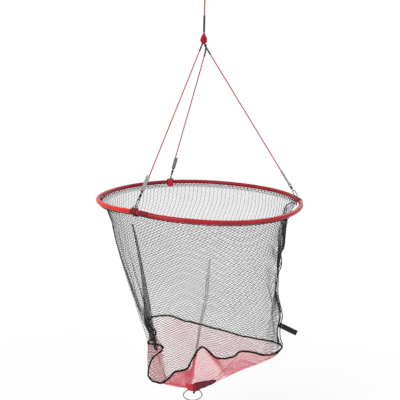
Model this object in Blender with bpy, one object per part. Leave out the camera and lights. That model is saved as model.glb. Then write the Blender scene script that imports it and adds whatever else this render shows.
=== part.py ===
"""Hanging drop net: a padded hoop on a three-leg rope bridle, with a laced mesh bag below it.

Units are metres and +Z is up. The origin is the inside top of the hand loop that holds the net up,
and the hoop hangs level below it. -Y is the front. Run it with blender --background --python part.py
"""

import math

import bmesh
import bpy
from mathutils import Matrix, Vector

# Driving sizes of the hoop
HOOP_DROP = 0.660
HOOP_RADIUS = 0.2915
SLEEVE_RADIUS = 0.0063
SLEEVE_BORE = 0.0029
WIRE_RADIUS = 0.0025
HOOP_STEPS = 72
HOOP_SIDES = 10

# The bridle pulls the hoop up at its anchors, and the hoop sags a little between them.
# Each wave is (waves round the hoop, cosine height, sine height).
HOOP_WAVES = ((1, -0.0012, -0.0015), (2, -0.0009, 0.0030), (3, 0.0020, -0.0007))
PULL_ANGLE = 234.5
PULL_HEIGHT = 0.0035
PULL_SPREAD = 12.0

# The two ends of the hoop's sleeve meet inside a short cuff
JOIN_ANGLE = 240.6
JOIN_HALF_GAP = 0.1
CUFF_HALF_ANGLE = 2.9
CUFF_BORE = 0.00665
CUFF_RADIUS = 0.0075

# Rope, knots and sleeves above the bridle
ROPE_RADIUS = 0.0018
CORD_RADIUS = 0.0015
CAP_RADIUS = 0.0022
TOUCH_GAP = 0.0003
LOOP_KNOT_TOP = -0.0668
LOOP_KNOT_BASE = -0.0857
SLEEVE_TOP = -0.1400
SLEEVE_BASE = -0.1885
KNOT_CENTRE = -0.2105
KNOT_RADIUS = 0.0090

# Each leg: name, anchor angle, length of its black cap, and its first points under the knot
LEGS = (
    ("front_left", 234.5, 0.024, ((-0.0035, -0.0045, -0.2183),)),
    ("back_left", 109.75, 0.039,
     ((0.0064, 0.0048, -0.2180), (0.0063, 0.0052, -0.2300), (0.0050, 0.0060, -0.2420))),
    ("right", 3.5, 0.034, ((0.0018, -0.0038, -0.2199),)),
)

# Hardware of a leg, as distances up the leg from the middle of its anchor ring's arc
ARC_INSET = 0.0084
ARC_HEIGHT = 0.0135
RING_WIRE = 0.0010
RING_HALF_WIDTH = 0.0106
RING_REACH = 0.0070
SNAP_WIRE = 0.0007
SNAP_HALF_WIDTH = 0.0035
SNAP_BOTTOM = -0.00205
SNAP_TOP = 0.0206
GATE_PIVOT = 0.0168
GATE_END = 0.0059
LOWER_EYE_CENTRE = 0.0214
LOWER_EYE_RADIUS = 0.0024
LOWER_EYE_WIRE = 0.0006
BARREL_BASE = 0.0260
BARREL_TOP = 0.0340
BARREL_RADIUS = 0.0033
BARREL_BORE = 0.0021
UPPER_EYE_CENTRE = 0.0397
UPPER_EYE_RADIUS = 0.0036
UPPER_EYE_WIRE = 0.00075
CORD_TURN_CENTRE = 0.0435
CRIMP_BASE = 0.0460
CRIMP_TOP = 0.0880
CRIMP_HALF_PITCH = 0.0028
CRIMP_RADIUS = 0.0031
CRIMP_BORE = 0.0019
CORD_END = 0.0905

# Webbing tab round the hoop at each anchor
TAB_HALF_WIDTH = 0.0092
TAB_BORE = 0.0070
TAB_RADIUS = 0.0084
TAB_BAR_BORE = 0.00135
TAB_BAR_RADIUS = 0.0029
TAIL_FACES = (0.0069, 0.0087)
TAIL_LENGTH = 0.0140

# Cords of the bag
RIM_CORD_RADIUS = 0.0013
RIM_CORD_INSET = 0.0035
RIM_CORD_DROP = 0.0099
SEAM_RADIUS = 0.0019
LACING_RADIUS = 0.0016
RIM_FROM = 7.0
RIM_TO = 326.5

# Netting, as thin shells in the bag's true outer shape. The upper one is cut into a plain grid of openings:
# bars round the bag at even depths, and bars down it at even turns, one of them under the laced edge.
NET_THICKNESS = 0.0012
NET_TOP_DROP = 0.0117
NET_BAYS = 20
BAY_STEPS = 4
BAR_TURN = 1.8
WALL_DEPTHS = 5
BAR_DEPTH = 0.018
LACED_BAR = 342.0
LEAN_SPREAD = 18.0
BOTTOM_ROWS = (0.0, 0.33, 0.67, 1.0)
SEAM_CLEARANCE = 0.0035
KEEL_HALF_WIDTH = 0.004

# The bag's side opening beside the right anchor: angle round the bag, then x, y and height over the hoop
OPENING_EDGE = (
    (334.0, 0.2360, -0.1180, -0.0400),
    (344.0, 0.2425, -0.0600, -0.0720),
    (352.0, 0.2400, -0.0370, -0.0300),
    (357.0, 0.2420, -0.0180, -0.0190),
    (361.0, 0.2530, 0.0030, -0.0130),
)

# The cord in the seam between the upper and the lower netting, with the folds that it is gathered in:
# angle round the bag, then x, y and height over the hoop
SEAM = (
    (0, 0.259, 0.000, -0.444), (12, 0.237, 0.030, -0.444), (28, 0.188, 0.065, -0.449),
    (44, 0.138, 0.090, -0.450), (60, 0.091, 0.105, -0.442), (76, 0.044, 0.112, -0.434),
    (90, 0.002, 0.112, -0.422), (104, -0.040, 0.105, -0.411), (118, -0.083, 0.092, -0.392),
    (134, -0.133, 0.070, -0.388), (146, -0.146, 0.054, -0.395), (156, -0.141, 0.037, -0.408),
    (164, -0.123, 0.027, -0.419), (172, -0.127, 0.014, -0.431), (180, -0.145, 0.002, -0.448),
    (188, -0.119, -0.010, -0.446), (195, -0.098, -0.020, -0.448), (202, -0.106, -0.032, -0.460),
    (209, -0.126, -0.042, -0.475), (216, -0.138, -0.050, -0.504), (224, -0.135, -0.058, -0.532),
    (232, -0.110, -0.066, -0.543), (240, -0.088, -0.073, -0.535), (248, -0.059, -0.082, -0.501),
    (257, -0.023, -0.091, -0.484), (264, -0.007, -0.098, -0.447), (270, 0.009, -0.102, -0.420),
    (275, 0.022, -0.104, -0.412), (283, 0.056, -0.105, -0.440), (291, 0.082, -0.104, -0.445),
    (301, 0.115, -0.100, -0.437), (306, 0.129, -0.096, -0.425), (316, 0.169, -0.080, -0.434),
    (326, 0.195, -0.062, -0.448), (340, 0.230, -0.035, -0.457), (350, 0.253, -0.012, -0.453),
)

# The fold along the bottom of the bag: share of its length from the left, then x, y and height
KEEL = (
    (0.00, -0.134, -0.036, -0.541), (0.12, -0.084, -0.036, -0.562), (0.24, -0.029, -0.030, -0.573),
    (0.34, 0.022, -0.024, -0.571), (0.47, 0.067, -0.024, -0.552), (0.63, 0.129, -0.022, -0.519),
    (0.80, 0.189, -0.014, -0.497), (0.94, 0.240, -0.006, -0.474), (1.00, 0.254, -0.002, -0.460),
)

# How far the bag's edges stand in (+) or out (-) from straight, from its top (0) to its seam (1)
LEFT_INSET = (
    (0.0, 0.0), (0.12, 0.015), (0.33, 0.006), (0.45, 0.002), (0.67, -0.008), (0.85, -0.007), (1.0, 0.0),
)
LEFT_FOLD_ANGLE = 218.0
LEFT_FOLD_SPREAD = 16.0
LEFT_FOLD_INSET = (
    (0.0, 0.0), (0.55, 0.0), (0.64, 0.004), (0.74, 0.018), (0.81, 0.020), (0.90, 0.011), (1.0, 0.0),
)
RIGHT_ANGLE = 10.0
RIGHT_SPREAD = 16.0
RIGHT_INSET = (
    (0.0, 0.0), (0.11, 0.0175), (0.18, 0.025), (0.25, 0.027), (0.31, 0.026), (0.345, 0.034), (0.39, 0.029),
    (0.42, 0.023), (0.455, 0.022), (0.49, 0.033), (0.56, 0.032), (0.64, 0.0235), (0.69, 0.017), (0.72, 0.010),
    (0.76, 0.007), (0.80, 0.004), (0.83, 0.0075), (0.86, 0.013), (0.94, 0.012), (1.0, 0.0),
)
LACED_ANGLES = (344.0, 356.0)
LACED_SPREAD = 10.0
LACED_INSET = (
    (0.0, 0.0), (0.05, -0.0015), (0.14, -0.0025), (0.19, 0.0060), (0.25, 0.0055), (0.34, 0.0090),
    (0.43, 0.0095),
    (0.52, 0.0097), (0.60, 0.0056), (0.68, 0.0005), (0.73, -0.0010), (0.78, 0.0030), (0.83, 0.0050),
    (0.90, 0.0050),
    (1.0, 0.0),
)

# The lacing cord: from the right anchor round the side opening, then down the bag's right edge
SIDE_LACING = (
    (0.2790, 0.0215, -0.0090), (0.2693, 0.0120, -0.0050), (0.2566, 0.0000, -0.0080),
    (0.2455, -0.0200, -0.0147), (0.2430, -0.0350, -0.0247), (0.2450, -0.0480, -0.0461),
    (0.2470, -0.0580, -0.0670), (0.2465, -0.0550, -0.0890), (0.2450, -0.0500, -0.1260),
    (0.2375, -0.0460, -0.1420), (0.2420, -0.0420, -0.1680), (0.2400, -0.0390, -0.1890),
    (0.2350, -0.0370, -0.2020), (0.2355, -0.0320, -0.2350), (0.2370, -0.0270, -0.2700),
    (0.2440, -0.0220, -0.3000), (0.2520, -0.0180, -0.3280), (0.2550, -0.0150, -0.3470),
    (0.2520, -0.0120, -0.3650), (0.2505, -0.0090, -0.3860), (0.2520, -0.0050, -0.4110),
    (0.2558, -0.0020, -0.4260), (0.2618, 0.0000, -0.4385),
)
OPENING_CORD = (
    (0.2372, -0.1590, -0.0130), (0.2380, -0.1250, -0.0330),
    (0.2410, -0.0900, -0.0520), (0.2440, -0.0650, -0.0640),
)

# Gathered end of the bag, its tie, the ring that hangs there, and the strap at the bag's side
ROLL_FROM = (-0.006, -0.0535, -0.5620)
ROLL_TO = (0.063, -0.0560, -0.5360)
ROLL_RADII = (0.0115, 0.0042)
RING_AXIS = (-0.002, -0.0405, -0.5760)
BOTTOM_RING_WIRE = 0.0015
BOTTOM_RING = (
    (-0.0195, 0.0), (-0.0275, -0.0050), (-0.0335, -0.0150), (-0.0270, -0.0265),
    (-0.0070, -0.0325), (0.0110, -0.0280),
    (0.0225, -0.0160), (0.0190, -0.0050), (0.0135, 0.0), (0.0020, 0.0), (-0.0100, 0.0),
)
TIE_RADIUS = 0.0033
TIE_WIRE = 0.0012
TIE_KNOT_RADIUS = 0.0034
STRAP_ROOT = (0.2560, -0.0215, -0.3735)
STRAP_TIP = (0.2980, -0.0300, -0.3905)
STRAP_UP = (0.298, 0.0, 0.955)
STRAP_WIDTH = 0.0160
STRAP_THICKNESS = 0.0024
STRAP_BASE_LENGTH = 0.0114
STRAP_END_SIDES = 6

COLOURS = {
    "rope": ((0.36, 0.10, 0.14), 0.75, 0.0),
    "black_sleeve": ((0.03, 0.03, 0.03), 0.45, 0.0),
    "knot_red": ((0.62, 0.05, 0.10), 0.70, 0.0),
    "crimp": ((0.55, 0.55, 0.53), 0.45, 0.9),
    "black_nickel": ((0.05, 0.05, 0.05), 0.35, 0.9),
    "steel": ((0.60, 0.60, 0.58), 0.30, 1.0),
    "sleeve_red": ((0.72, 0.04, 0.05), 0.45, 0.0),
    "webbing": ((0.45, 0.02, 0.05), 0.80, 0.0),
    "black_cord": ((0.03, 0.03, 0.03), 0.80, 0.0),
    "black_net": ((0.06, 0.06, 0.06), 0.80, 0.0),
    "red_net": ((0.75, 0.12, 0.18), 0.75, 0.0),
    "strap": ((0.02, 0.02, 0.02), 0.85, 0.0),
}


def clear_scene():
    """Remove every object that the file opens with."""
    for obj in list(bpy.data.objects):
        bpy.data.objects.remove(obj)


def finish(name):
    """Return the named surface finish, made once."""
    found = bpy.data.materials.get(name)
    if found:
        return found
    colour, roughness, metallic = COLOURS[name]
    made = bpy.data.materials.new(name)
    made.use_nodes = True
    shader = made.node_tree.nodes["Principled BSDF"]
    shader.inputs["Base Color"].default_value = (*colour, 1.0)
    shader.inputs["Roughness"].default_value = roughness
    shader.inputs["Metallic"].default_value = metallic
    return made


def place(name, data, look, matrix=None, parent=None):
    """Put mesh or curve data in the scene as one named object."""
    obj = bpy.data.objects.new(name, data)
    data.materials.append(finish(look))
    bpy.context.scene.collection.objects.link(obj)
    if parent:
        obj.parent = parent
    if matrix:
        obj.matrix_world = matrix
    return obj


def axis_empty(name, position):
    """Mark a joint's place with an empty, for the pieces that move on it."""
    empty = bpy.data.objects.new(name, None)
    empty.location = position
    empty.empty_display_size = 0.02
    bpy.context.scene.collection.objects.link(empty)
    bpy.context.view_layer.update()
    return empty


def to_mesh(name, bm, smooth=True):
    """Turn a bmesh into mesh data with its faces pointing out."""
    bmesh.ops.recalc_face_normals(bm, faces=bm.faces)
    mesh = bpy.data.meshes.new(name)
    bm.to_mesh(mesh)
    bm.free()
    if smooth:
        mesh.shade_smooth()
        mesh.set_sharp_from_angle(angle=math.radians(40))
    return mesh


def through(stops, t, period=None):
    """Read a smooth curve through stops of (t, values...) at t."""
    rows = [(row[0], Vector(row[1:]) if len(row) > 2 else Vector((row[1], 0.0))) for row in stops]
    if period:
        t = rows[0][0] + (t - rows[0][0]) % period
        rows = ([(a - period, v) for a, v in rows[-2:]] + rows + [(a + period, v) for a, v in rows[:2]])
    last = len(rows) - 1
    i = 1 if period else 0
    while i < last - 1 and t > rows[i + 1][0]:
        i += 1
    (ta, a), (tb, b) = rows[i], rows[i + 1]
    before = rows[max(i - 1, 0)]
    after = rows[min(i + 2, last)]
    slope_a = (b - before[1]) / (tb - before[0])
    slope_b = (after[1] - a) / (after[0] - ta)
    width = tb - ta
    s = min(max((t - ta) / width, 0.0), 1.0)
    value = (
        a * (2 * s ** 3 - 3 * s ** 2 + 1) + slope_a * width * (s ** 3 - 2 * s ** 2 + s)
        + b * (3 * s ** 2 - 2 * s ** 3) + slope_b * width * (s ** 3 - s ** 2)
    )
    return value if len(stops[0]) > 2 else value.x


def smooth_route(points, count, closed=False):
    """Return count points along a smooth curve through the route's own points."""
    ring = list(points) + [points[0]] if closed else list(points)
    stops = [(0.0, *ring[0])]
    for a, b in zip(ring, ring[1:]):
        stops.append((stops[-1][0] + (Vector(b) - Vector(a)).length, *b))
    whole = stops[-1][0]
    if closed:
        return [through(stops[:-1], whole * i / count, period=whole) for i in range(count)]
    return [through(stops, whole * i / (count - 1)) for i in range(count)]


def tube(name, points, radius, look, closed=False, rings=2, matrix=None, parent=None):
    """Make a round cord or wire along points, with filled ends unless it is closed."""
    data = bpy.data.curves.new(name, "CURVE")
    data.dimensions = "3D"
    data.bevel_depth = radius
    data.bevel_resolution = rings
    data.use_fill_caps = not closed
    spline = data.splines.new("POLY")
    spline.points.add(len(points) - 1)
    for corner, point in zip(spline.points, points):
        corner.co = (*point, 1.0)
    spline.use_cyclic_u = closed
    return place(name, data, look, matrix, parent)


def turned(name, profile, look, matrix=None, steps=20, bore=0.0, parent=None):
    """Turn a profile of (radius, height), top to bottom, round Z; a bore leaves it open."""
    bm = bmesh.new()
    rings = [(r, z) for r, z in profile]
    if bore:
        rings += [(bore, profile[-1][1]), (bore, profile[0][1])]
    corners = []
    for r, z in rings:
        if r == 0.0:
            corners.append([bm.verts.new((0.0, 0.0, z))])
            continue
        turn = [2 * math.pi * i / steps for i in range(steps)]
        corners.append([bm.verts.new((r * math.cos(a), r * math.sin(a), z)) for a in turn])
    pairs = list(zip(corners, corners[1:]))
    if bore:
        pairs.append((corners[-1], corners[0]))
    for upper, lower in pairs:
        for i in range(steps):
            j = (i + 1) % steps
            quad = [upper[i % len(upper)], lower[i % len(lower)],
                    lower[j % len(lower)], upper[j % len(upper)]]
            bm.faces.new(list(dict.fromkeys(quad)))
    if not bore:
        for ring in (corners[0], corners[-1]):
            if len(ring) > 1:
                bm.faces.new(ring)
    return place(name, to_mesh(name, bm), look, matrix, parent)


def rod(name, start, end, radius, sides=16):
    """Make a plain round rod between two points, for Boolean work."""
    start, end = Vector(start), Vector(end)
    bm = bmesh.new()
    bmesh.ops.create_cone(bm, cap_ends=True, segments=sides, radius1=radius, radius2=radius,
                          depth=(end - start).length)
    turn = (end - start).to_track_quat("Z", "Y").to_matrix().to_4x4()
    bmesh.ops.transform(bm, matrix=Matrix.Translation((start + end) / 2) @ turn, verts=bm.verts)
    mesh = to_mesh(name, bm)
    obj = bpy.data.objects.new(name, mesh)
    bpy.context.scene.collection.objects.link(obj)
    return obj


def combine(base, others, operation):
    """Join or cut base with each helper, and leave base's mesh as the result."""
    for other in others:
        step = base.modifiers.new(other.name, "BOOLEAN")
        step.object = other
        step.operation = operation
        step.solver = "EXACT"
    bpy.context.view_layer.update()
    depsgraph = bpy.context.evaluated_depsgraph_get()
    result = bpy.data.meshes.new_from_object(base.evaluated_get(depsgraph))
    base.modifiers.clear()
    base.data = result
    for other in others:
        bpy.data.objects.remove(other)


def nearness(angle, middle, spread):
    """Return 1 at the middle angle, falling smoothly to 0 away from it."""
    away = (angle - middle + 180.0) % 360.0 - 180.0
    return math.exp(-(away / spread) ** 2)


def hoop_rise(angle):
    """Height of the hoop's middle line over its level, at an angle in degrees."""
    turn = math.radians(angle)
    waves = sum(c * math.cos(n * turn) + s * math.sin(n * turn) for n, c, s in HOOP_WAVES)
    return waves + PULL_HEIGHT * nearness(angle, PULL_ANGLE, PULL_SPREAD)


def hoop_point(angle, inset=0.0, drop=0.0):
    """Point on the hoop's middle line, or inward of it and below it."""
    turn = math.radians(angle)
    reach = HOOP_RADIUS - inset
    return Vector((reach * math.cos(turn), reach * math.sin(turn), hoop_rise(angle) - HOOP_DROP - drop))


def hoop_shell(name, outer, bore, start, end, steps, look):
    """Make a hollow tube along the hoop from one angle to another, open at both ends."""
    bm = bmesh.new()
    rings = []
    for i in range(steps + 1):
        angle = start + (end - start) * i / steps
        centre = hoop_point(angle)
        turn = math.radians(angle)
        out = Vector((math.cos(turn), math.sin(turn), 0.0))
        ring = []
        for radius in (outer, bore):
            for k in range(HOOP_SIDES):
                a = 2 * math.pi * k / HOOP_SIDES
                lift = Vector((0, 0, radius * math.sin(a)))
                ring.append(bm.verts.new(centre + out * radius * math.cos(a) + lift))
        rings.append(ring)
    for near, far in zip(rings, rings[1:]):
        for base in (0, HOOP_SIDES):
            for k in range(HOOP_SIDES):
                j = (k + 1) % HOOP_SIDES
                bm.faces.new((near[base + k], near[base + j], far[base + j], far[base + k]))
    for ring in (rings[0], rings[-1]):
        for k in range(HOOP_SIDES):
            j = (k + 1) % HOOP_SIDES
            bm.faces.new((ring[k], ring[j], ring[HOOP_SIDES + j], ring[HOOP_SIDES + k]))
    return place(name, to_mesh(name, bm), look)


def build_hoop():
    """Make the spring wire hoop, its padded sleeve and the cuff over the sleeve's join."""
    around = [hoop_point(360.0 * i / HOOP_STEPS) for i in range(HOOP_STEPS)]
    tube("hoop_wire", around, WIRE_RADIUS, "steel", closed=True, rings=1)
    first = JOIN_ANGLE + JOIN_HALF_GAP
    hoop_shell("hoop_sleeve", SLEEVE_RADIUS, SLEEVE_BORE, first, first + 360.0 - 2 * JOIN_HALF_GAP,
               HOOP_STEPS, "sleeve_red")
    hoop_shell("hoop_cuff", CUFF_RADIUS, CUFF_BORE, JOIN_ANGLE - CUFF_HALF_ANGLE,
               JOIN_ANGLE + CUFF_HALF_ANGLE,
               6, "sleeve_red")


def build_hanging_rope():
    """Make the hand loop, its knot, the taut rope, the black sleeve and the red bridle knot."""
    half = ((-0.0030, -0.0664), (-0.0031, -0.0635), (-0.0075, -0.0500), (-0.0125, -0.0320),
            (-0.0135, -0.0165), (-0.0095, -0.0045))
    side = [(x, 0.0, z) for x, z in half]
    other = [(-x, 0.0, z) for x, z in reversed(half)]
    tube("hang_loop", smooth_route(side + [(0.0, 0.0, ROPE_RADIUS)] + other, 30), ROPE_RADIUS, "rope")
    knot = ((0.0052, LOOP_KNOT_TOP), (0.0068, -0.0700), (0.0072, -0.0745), (0.0062, -0.0785),
            (0.0066, -0.0820), (0.0045, LOOP_KNOT_BASE))
    turned("loop_knot", knot, "rope")
    turning = axis_empty("rope_turn_axis", (0.0, 0.0, LOOP_KNOT_BASE))
    top = LOOP_KNOT_BASE - TOUCH_GAP
    base = SLEEVE_TOP + TOUCH_GAP
    line = [(0.0, 0.0, top + (base - top) * i / 7) for i in range(8)]
    tube("main_rope", line, ROPE_RADIUS, "rope", matrix=Matrix.Identity(4), parent=turning)
    sleeve = ((0.0021, SLEEVE_TOP), (0.0029, -0.1460), (0.0029, -0.1870), (0.0025, SLEEVE_BASE))
    turned("rope_sleeve", sleeve, "black_sleeve", Matrix.Identity(4), parent=turning)
    shoulder = [(0.0026, SLEEVE_BASE - TOUCH_GAP), (0.0046, -0.1935), (0.0070, -0.1995), (0.0085, -0.2055)]
    bowl = [(KNOT_RADIUS * math.cos(a), KNOT_CENTRE - KNOT_RADIUS * math.sin(a))
            for a in (math.radians(15 * i) for i in range(6))]
    turned("bridle_knot", shoulder + bowl + [(0.0, KNOT_CENTRE - KNOT_RADIUS)], "knot_red",
           Matrix.Identity(4), parent=turning)


class Leg:
    """One leg of the bridle, with the frame that its hardware is laid out in.

    Local +Z runs up the leg to the knot, local +X along the hoop, and the origin is the middle of
    the anchor ring's arc.
    """

    def __init__(self, name, angle, cap_length, start):
        self.name = name
        self.angle = angle
        self.cap_length = cap_length
        self.start = [Vector(p) for p in start]
        self.origin = hoop_point(angle, inset=ARC_INSET, drop=-ARC_HEIGHT)
        turn = math.radians(angle)
        self.along = Vector((-math.sin(turn), math.cos(turn), 0.0))
        up = (self.start[-1] - self.origin).normalized()
        side = (self.along - up * self.along.dot(up)).normalized()
        across = up.cross(side)
        self.frame = Matrix((side, across, up)).transposed().to_4x4()
        self.frame.translation = self.origin

    def named(self, piece):
        """Return a piece's name on this leg."""
        return piece + "_" + self.name

    def local(self, points):
        """Turn (x, z) points of the leg's own plane into local points."""
        return [(x, 0.0, z) for x, z in points]

    def cord(self):
        """Make the cord, through the crimp sleeve and round the swivel's eye, and its black cap."""
        inverse = self.frame.inverted()
        turn = [math.radians(15 * i) for i in range(13)]
        bend = [(CRIMP_HALF_PITCH * math.cos(a), 0.0, CORD_TURN_CENTRE - CRIMP_HALF_PITCH * math.sin(a))
                for a in turn]
        enter = (CRIMP_HALF_PITCH, 0.0, CRIMP_TOP + 0.004)
        way_up = [self.frame @ Vector(p) for p in (enter, bend[0])]
        route = list(self.start) + way_up[:1]
        reach = [0.0]
        for a, b in zip(route, route[1:]):
            reach.append(reach[-1] + (b - a).length)
        stops = [(r, *p) for r, p in zip(reach, route)]
        cap = [through(stops, self.cap_length * i / 9) for i in range(10)]
        tube(self.named("leg_cap"), cap, CAP_RADIUS, "black_sleeve")
        first = self.cap_length + TOUCH_GAP
        free = [through(stops, first + (reach[-1] - first) * i / 15) for i in range(16)]
        points = [inverse @ p for p in free]
        points += [Vector((CRIMP_HALF_PITCH, 0.0, CRIMP_TOP - 0.01 * i)) for i in range(5)]
        points += [Vector(p) for p in bend]
        points += [Vector((-CRIMP_HALF_PITCH, 0.0, CRIMP_BASE + (CORD_END - CRIMP_BASE) * i / 4))
                   for i in range(5)]
        tube(self.named("leg_cord"), points, CORD_RADIUS, "rope", matrix=self.frame)

    def crimp(self):
        """Make the double-barrel crimp sleeve with its two bores."""
        ends = (CRIMP_BASE, CRIMP_TOP)
        barrels = [rod("barrel_side", (x, 0, ends[0]), (x, 0, ends[1]), CRIMP_RADIUS)
                   for x in (CRIMP_HALF_PITCH, -CRIMP_HALF_PITCH)]
        sleeve = barrels[0]
        combine(sleeve, barrels[1:], "UNION")
        bores = [rod("bore", (x, 0, ends[0] - 0.002), (x, 0, ends[1] + 0.002), CRIMP_BORE)
                 for x in (CRIMP_HALF_PITCH, -CRIMP_HALF_PITCH)]
        combine(sleeve, bores, "DIFFERENCE")
        sleeve.name = self.named("crimp_sleeve")
        sleeve.data.materials.clear()
        sleeve.data.materials.append(finish("crimp"))
        sleeve.matrix_world = self.frame

    def eye(self, piece, centre, radius, wire, stem_end, plane_up, look):
        """Make a swivel's bent-wire eye, whose two ends run side by side into the barrel."""
        half = wire + 0.0002
        lean = math.asin(half / radius)
        turn = [lean + (2 * math.pi - 2 * lean) * i / 22 for i in range(23)]
        toward = 1.0 if plane_up else -1.0
        ring = [(radius * math.sin(a), centre - toward * radius * math.cos(a)) for a in turn]
        points = [(half, stem_end)] + ring + [(-half, stem_end)]
        if plane_up:
            points = [(0.0, s, z) for s, z in points]
        else:
            points = [(s, 0.0, z) for s, z in points]
        tube(self.named(piece), points, wire, look, rings=1, matrix=self.frame)

    def swivel(self):
        """Make the swivel: two eyes and the barrel that turns between them."""
        middle = (BARREL_BASE + BARREL_TOP) / 2
        self.eye("swivel_eye_upper", UPPER_EYE_CENTRE, UPPER_EYE_RADIUS, UPPER_EYE_WIRE, middle + 0.0004,
                 True, "black_nickel")
        self.eye("swivel_eye_lower", LOWER_EYE_CENTRE, LOWER_EYE_RADIUS, LOWER_EYE_WIRE, middle - 0.0004,
                 False, "black_nickel")
        bead = 0.0008
        profile = ((BARREL_RADIUS - bead, BARREL_TOP), (BARREL_RADIUS, BARREL_TOP - bead),
                   (BARREL_RADIUS, middle + bead), (BARREL_RADIUS - bead / 2, middle),
                   (BARREL_RADIUS, middle - bead), (BARREL_RADIUS, BARREL_BASE + bead),
                   (BARREL_RADIUS - bead, BARREL_BASE))
        turned(self.named("swivel_barrel"), profile, "black_nickel", self.frame, steps=16, bore=BARREL_BORE)

    def snap(self):
        """Make the snap's bent-wire frame and the wire gate that springs shut."""
        w = SNAP_HALF_WIDTH
        frame = ((w - 0.0002, GATE_PIVOT + 0.0004), (w - 0.0008, 0.0190), (0.0012, 0.0204), (0.0, SNAP_TOP),
                 (-0.0012, 0.0204), (0.0008 - w, 0.0190), (-w, 0.0165), (-w, 0.0040), (0.0005 - w, 0.0012),
                 (0.0018 - w, -0.0012), (0.0, SNAP_BOTTOM), (w - 0.0018, -0.0012), (w - 0.0005, 0.0012),
                 (w, 0.0040), (w, GATE_END - 0.0004))
        points = [(0.0, y, z) for y, z in frame]
        tube(self.named("snap_frame"), points, SNAP_WIRE, "black_nickel", rings=1, matrix=self.frame)
        pivot = self.frame @ Matrix.Translation((0.0, w - 0.0002, GATE_PIVOT))
        drop = GATE_PIVOT - GATE_END
        gate = [(0.0, 0.0002 * i / 4, -drop * i / 4) for i in range(5)]
        tube(self.named("snap_gate"), gate, SNAP_WIRE, "steel", rings=1, matrix=pivot)

    def anchor_ring(self):
        """Make the anchor's steel ring: a straight bar in the tab and an arc for the snap."""
        arc = [math.radians(180.0 * i / 14) for i in range(15)]
        points = [(RING_HALF_WIDTH * math.cos(a), RING_REACH * (math.sin(a) - 1.0)) for a in arc]
        bar = [(RING_HALF_WIDTH * x, -RING_REACH) for x in (-0.5, 0.0, 0.5)]
        tube(self.named("anchor_ring"), self.local(points + bar), RING_WIRE, "steel", closed=True, rings=1,
             matrix=self.frame)

    def tab(self):
        """Make the webbing tab that wraps the hoop and holds the ring's bar."""
        centre = hoop_point(self.angle)
        bar = self.frame @ Vector((0.0, 0.0, -RING_REACH))
        inward = Vector((-math.cos(math.radians(self.angle)), -math.sin(math.radians(self.angle)), 0.0))
        half = self.along * TAB_HALF_WIDTH
        fold = self.along * (TAB_HALF_WIDTH - 0.0013)
        over = self.along * (TAB_HALF_WIDTH + 0.002)
        band = rod("band", centre - half, centre + half, TAB_RADIUS, 20)
        bar_band = rod("bar_band", bar - fold, bar + fold, TAB_BAR_RADIUS, 12)
        bm = bmesh.new()
        bmesh.ops.create_cube(bm, size=1.0)
        thickness = TAIL_FACES[1] - TAIL_FACES[0]
        width = 2 * TAB_HALF_WIDTH - 0.0004
        sides = Matrix((inward * thickness, self.along * width, Vector((0, 0, TAIL_LENGTH))))
        shape = sides.transposed().to_4x4()
        shape.translation = centre + inward * (TAIL_FACES[0] + thickness / 2)
        shape.translation -= Vector((0, 0, TAIL_LENGTH / 2))
        bmesh.ops.transform(bm, matrix=shape, verts=bm.verts)
        tail = bpy.data.objects.new("tail", to_mesh("tail", bm, smooth=False))
        bpy.context.scene.collection.objects.link(tail)
        combine(band, [bar_band, tail], "UNION")
        cutters = [rod("hoop_bore", centre - over, centre + over, TAB_BORE, 20),
                   rod("bar_bore", bar - over, bar + over, TAB_BAR_BORE, 12)]
        combine(band, cutters, "DIFFERENCE")
        band.name = self.named("anchor_tab")
        band.data.materials.clear()
        band.data.materials.append(finish("webbing"))

    def build(self):
        """Make every piece of the leg, from the knot down to the hoop."""
        self.cord()
        self.crimp()
        self.swivel()
        self.snap()
        self.anchor_ring()
        self.tab()


def under_hoop(point):
    """Lower a point that is given from the hoop's level to its place under the hang point."""
    return Vector(point) - Vector((0.0, 0.0, HOOP_DROP))


def top_edge(u):
    """Point on the netting's top edge at an angle round the bag."""
    if RIM_FROM <= u <= RIM_TO:
        return hoop_point(u, inset=RIM_CORD_INSET, drop=NET_TOP_DROP)
    first = hoop_point(RIM_TO, inset=RIM_CORD_INSET, drop=NET_TOP_DROP)
    last = hoop_point(RIM_FROM, inset=RIM_CORD_INSET, drop=NET_TOP_DROP)
    stops = [(RIM_TO, *first)]
    stops += [(a, *under_hoop((x, y, z))) for a, x, y, z in OPENING_EDGE]
    stops += [(360.0 + RIM_FROM, *last)]
    return through(stops, u if u > 180.0 else u + 360.0)


def seam_point(u):
    """Point on the seam cord's middle line at an angle round the bag."""
    return under_hoop(through(SEAM, u, period=360.0))


def keel_point(u):
    """Point that an angle round the bag comes down to, on the fold along the bag's bottom."""
    share = abs(u - 180.0) / 180.0
    point = under_hoop(through(KEEL, share))
    side = math.sin(math.radians(u))
    return point + Vector((0.0, KEEL_HALF_WIDTH * side, 0.0))


def beside_seam(u, toward):
    """Point clear of the seam cord, square to it, on the side of the netting's other edge."""
    here = seam_point(u)
    along = (seam_point(u + 0.5) - seam_point(u - 0.5)).normalized()
    way = (toward - here).normalized()
    return here + (way - along * way.dot(along)).normalized() * SEAM_CLEARANCE


def wall_point(u, v):
    """Point on the upper netting, v running from 0 at the top edge to 1 at the seam."""
    top = top_edge(u)
    base = beside_seam(u, top)
    point = top.lerp(base, v)
    left = max(0.0, -math.cos(math.radians(u))) ** 2
    laced = LACED_ANGLES[0] + (LACED_ANGLES[1] - LACED_ANGLES[0]) * v ** 2
    point.x += through(LEFT_INSET, v) * left
    point.x += through(LEFT_FOLD_INSET, v) * nearness(u, LEFT_FOLD_ANGLE, LEFT_FOLD_SPREAD)
    point.x -= through(RIGHT_INSET, v) * nearness(u, RIGHT_ANGLE, RIGHT_SPREAD)
    point.x -= through(LACED_INSET, v) * nearness(u, laced, LACED_SPREAD)
    return point


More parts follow.
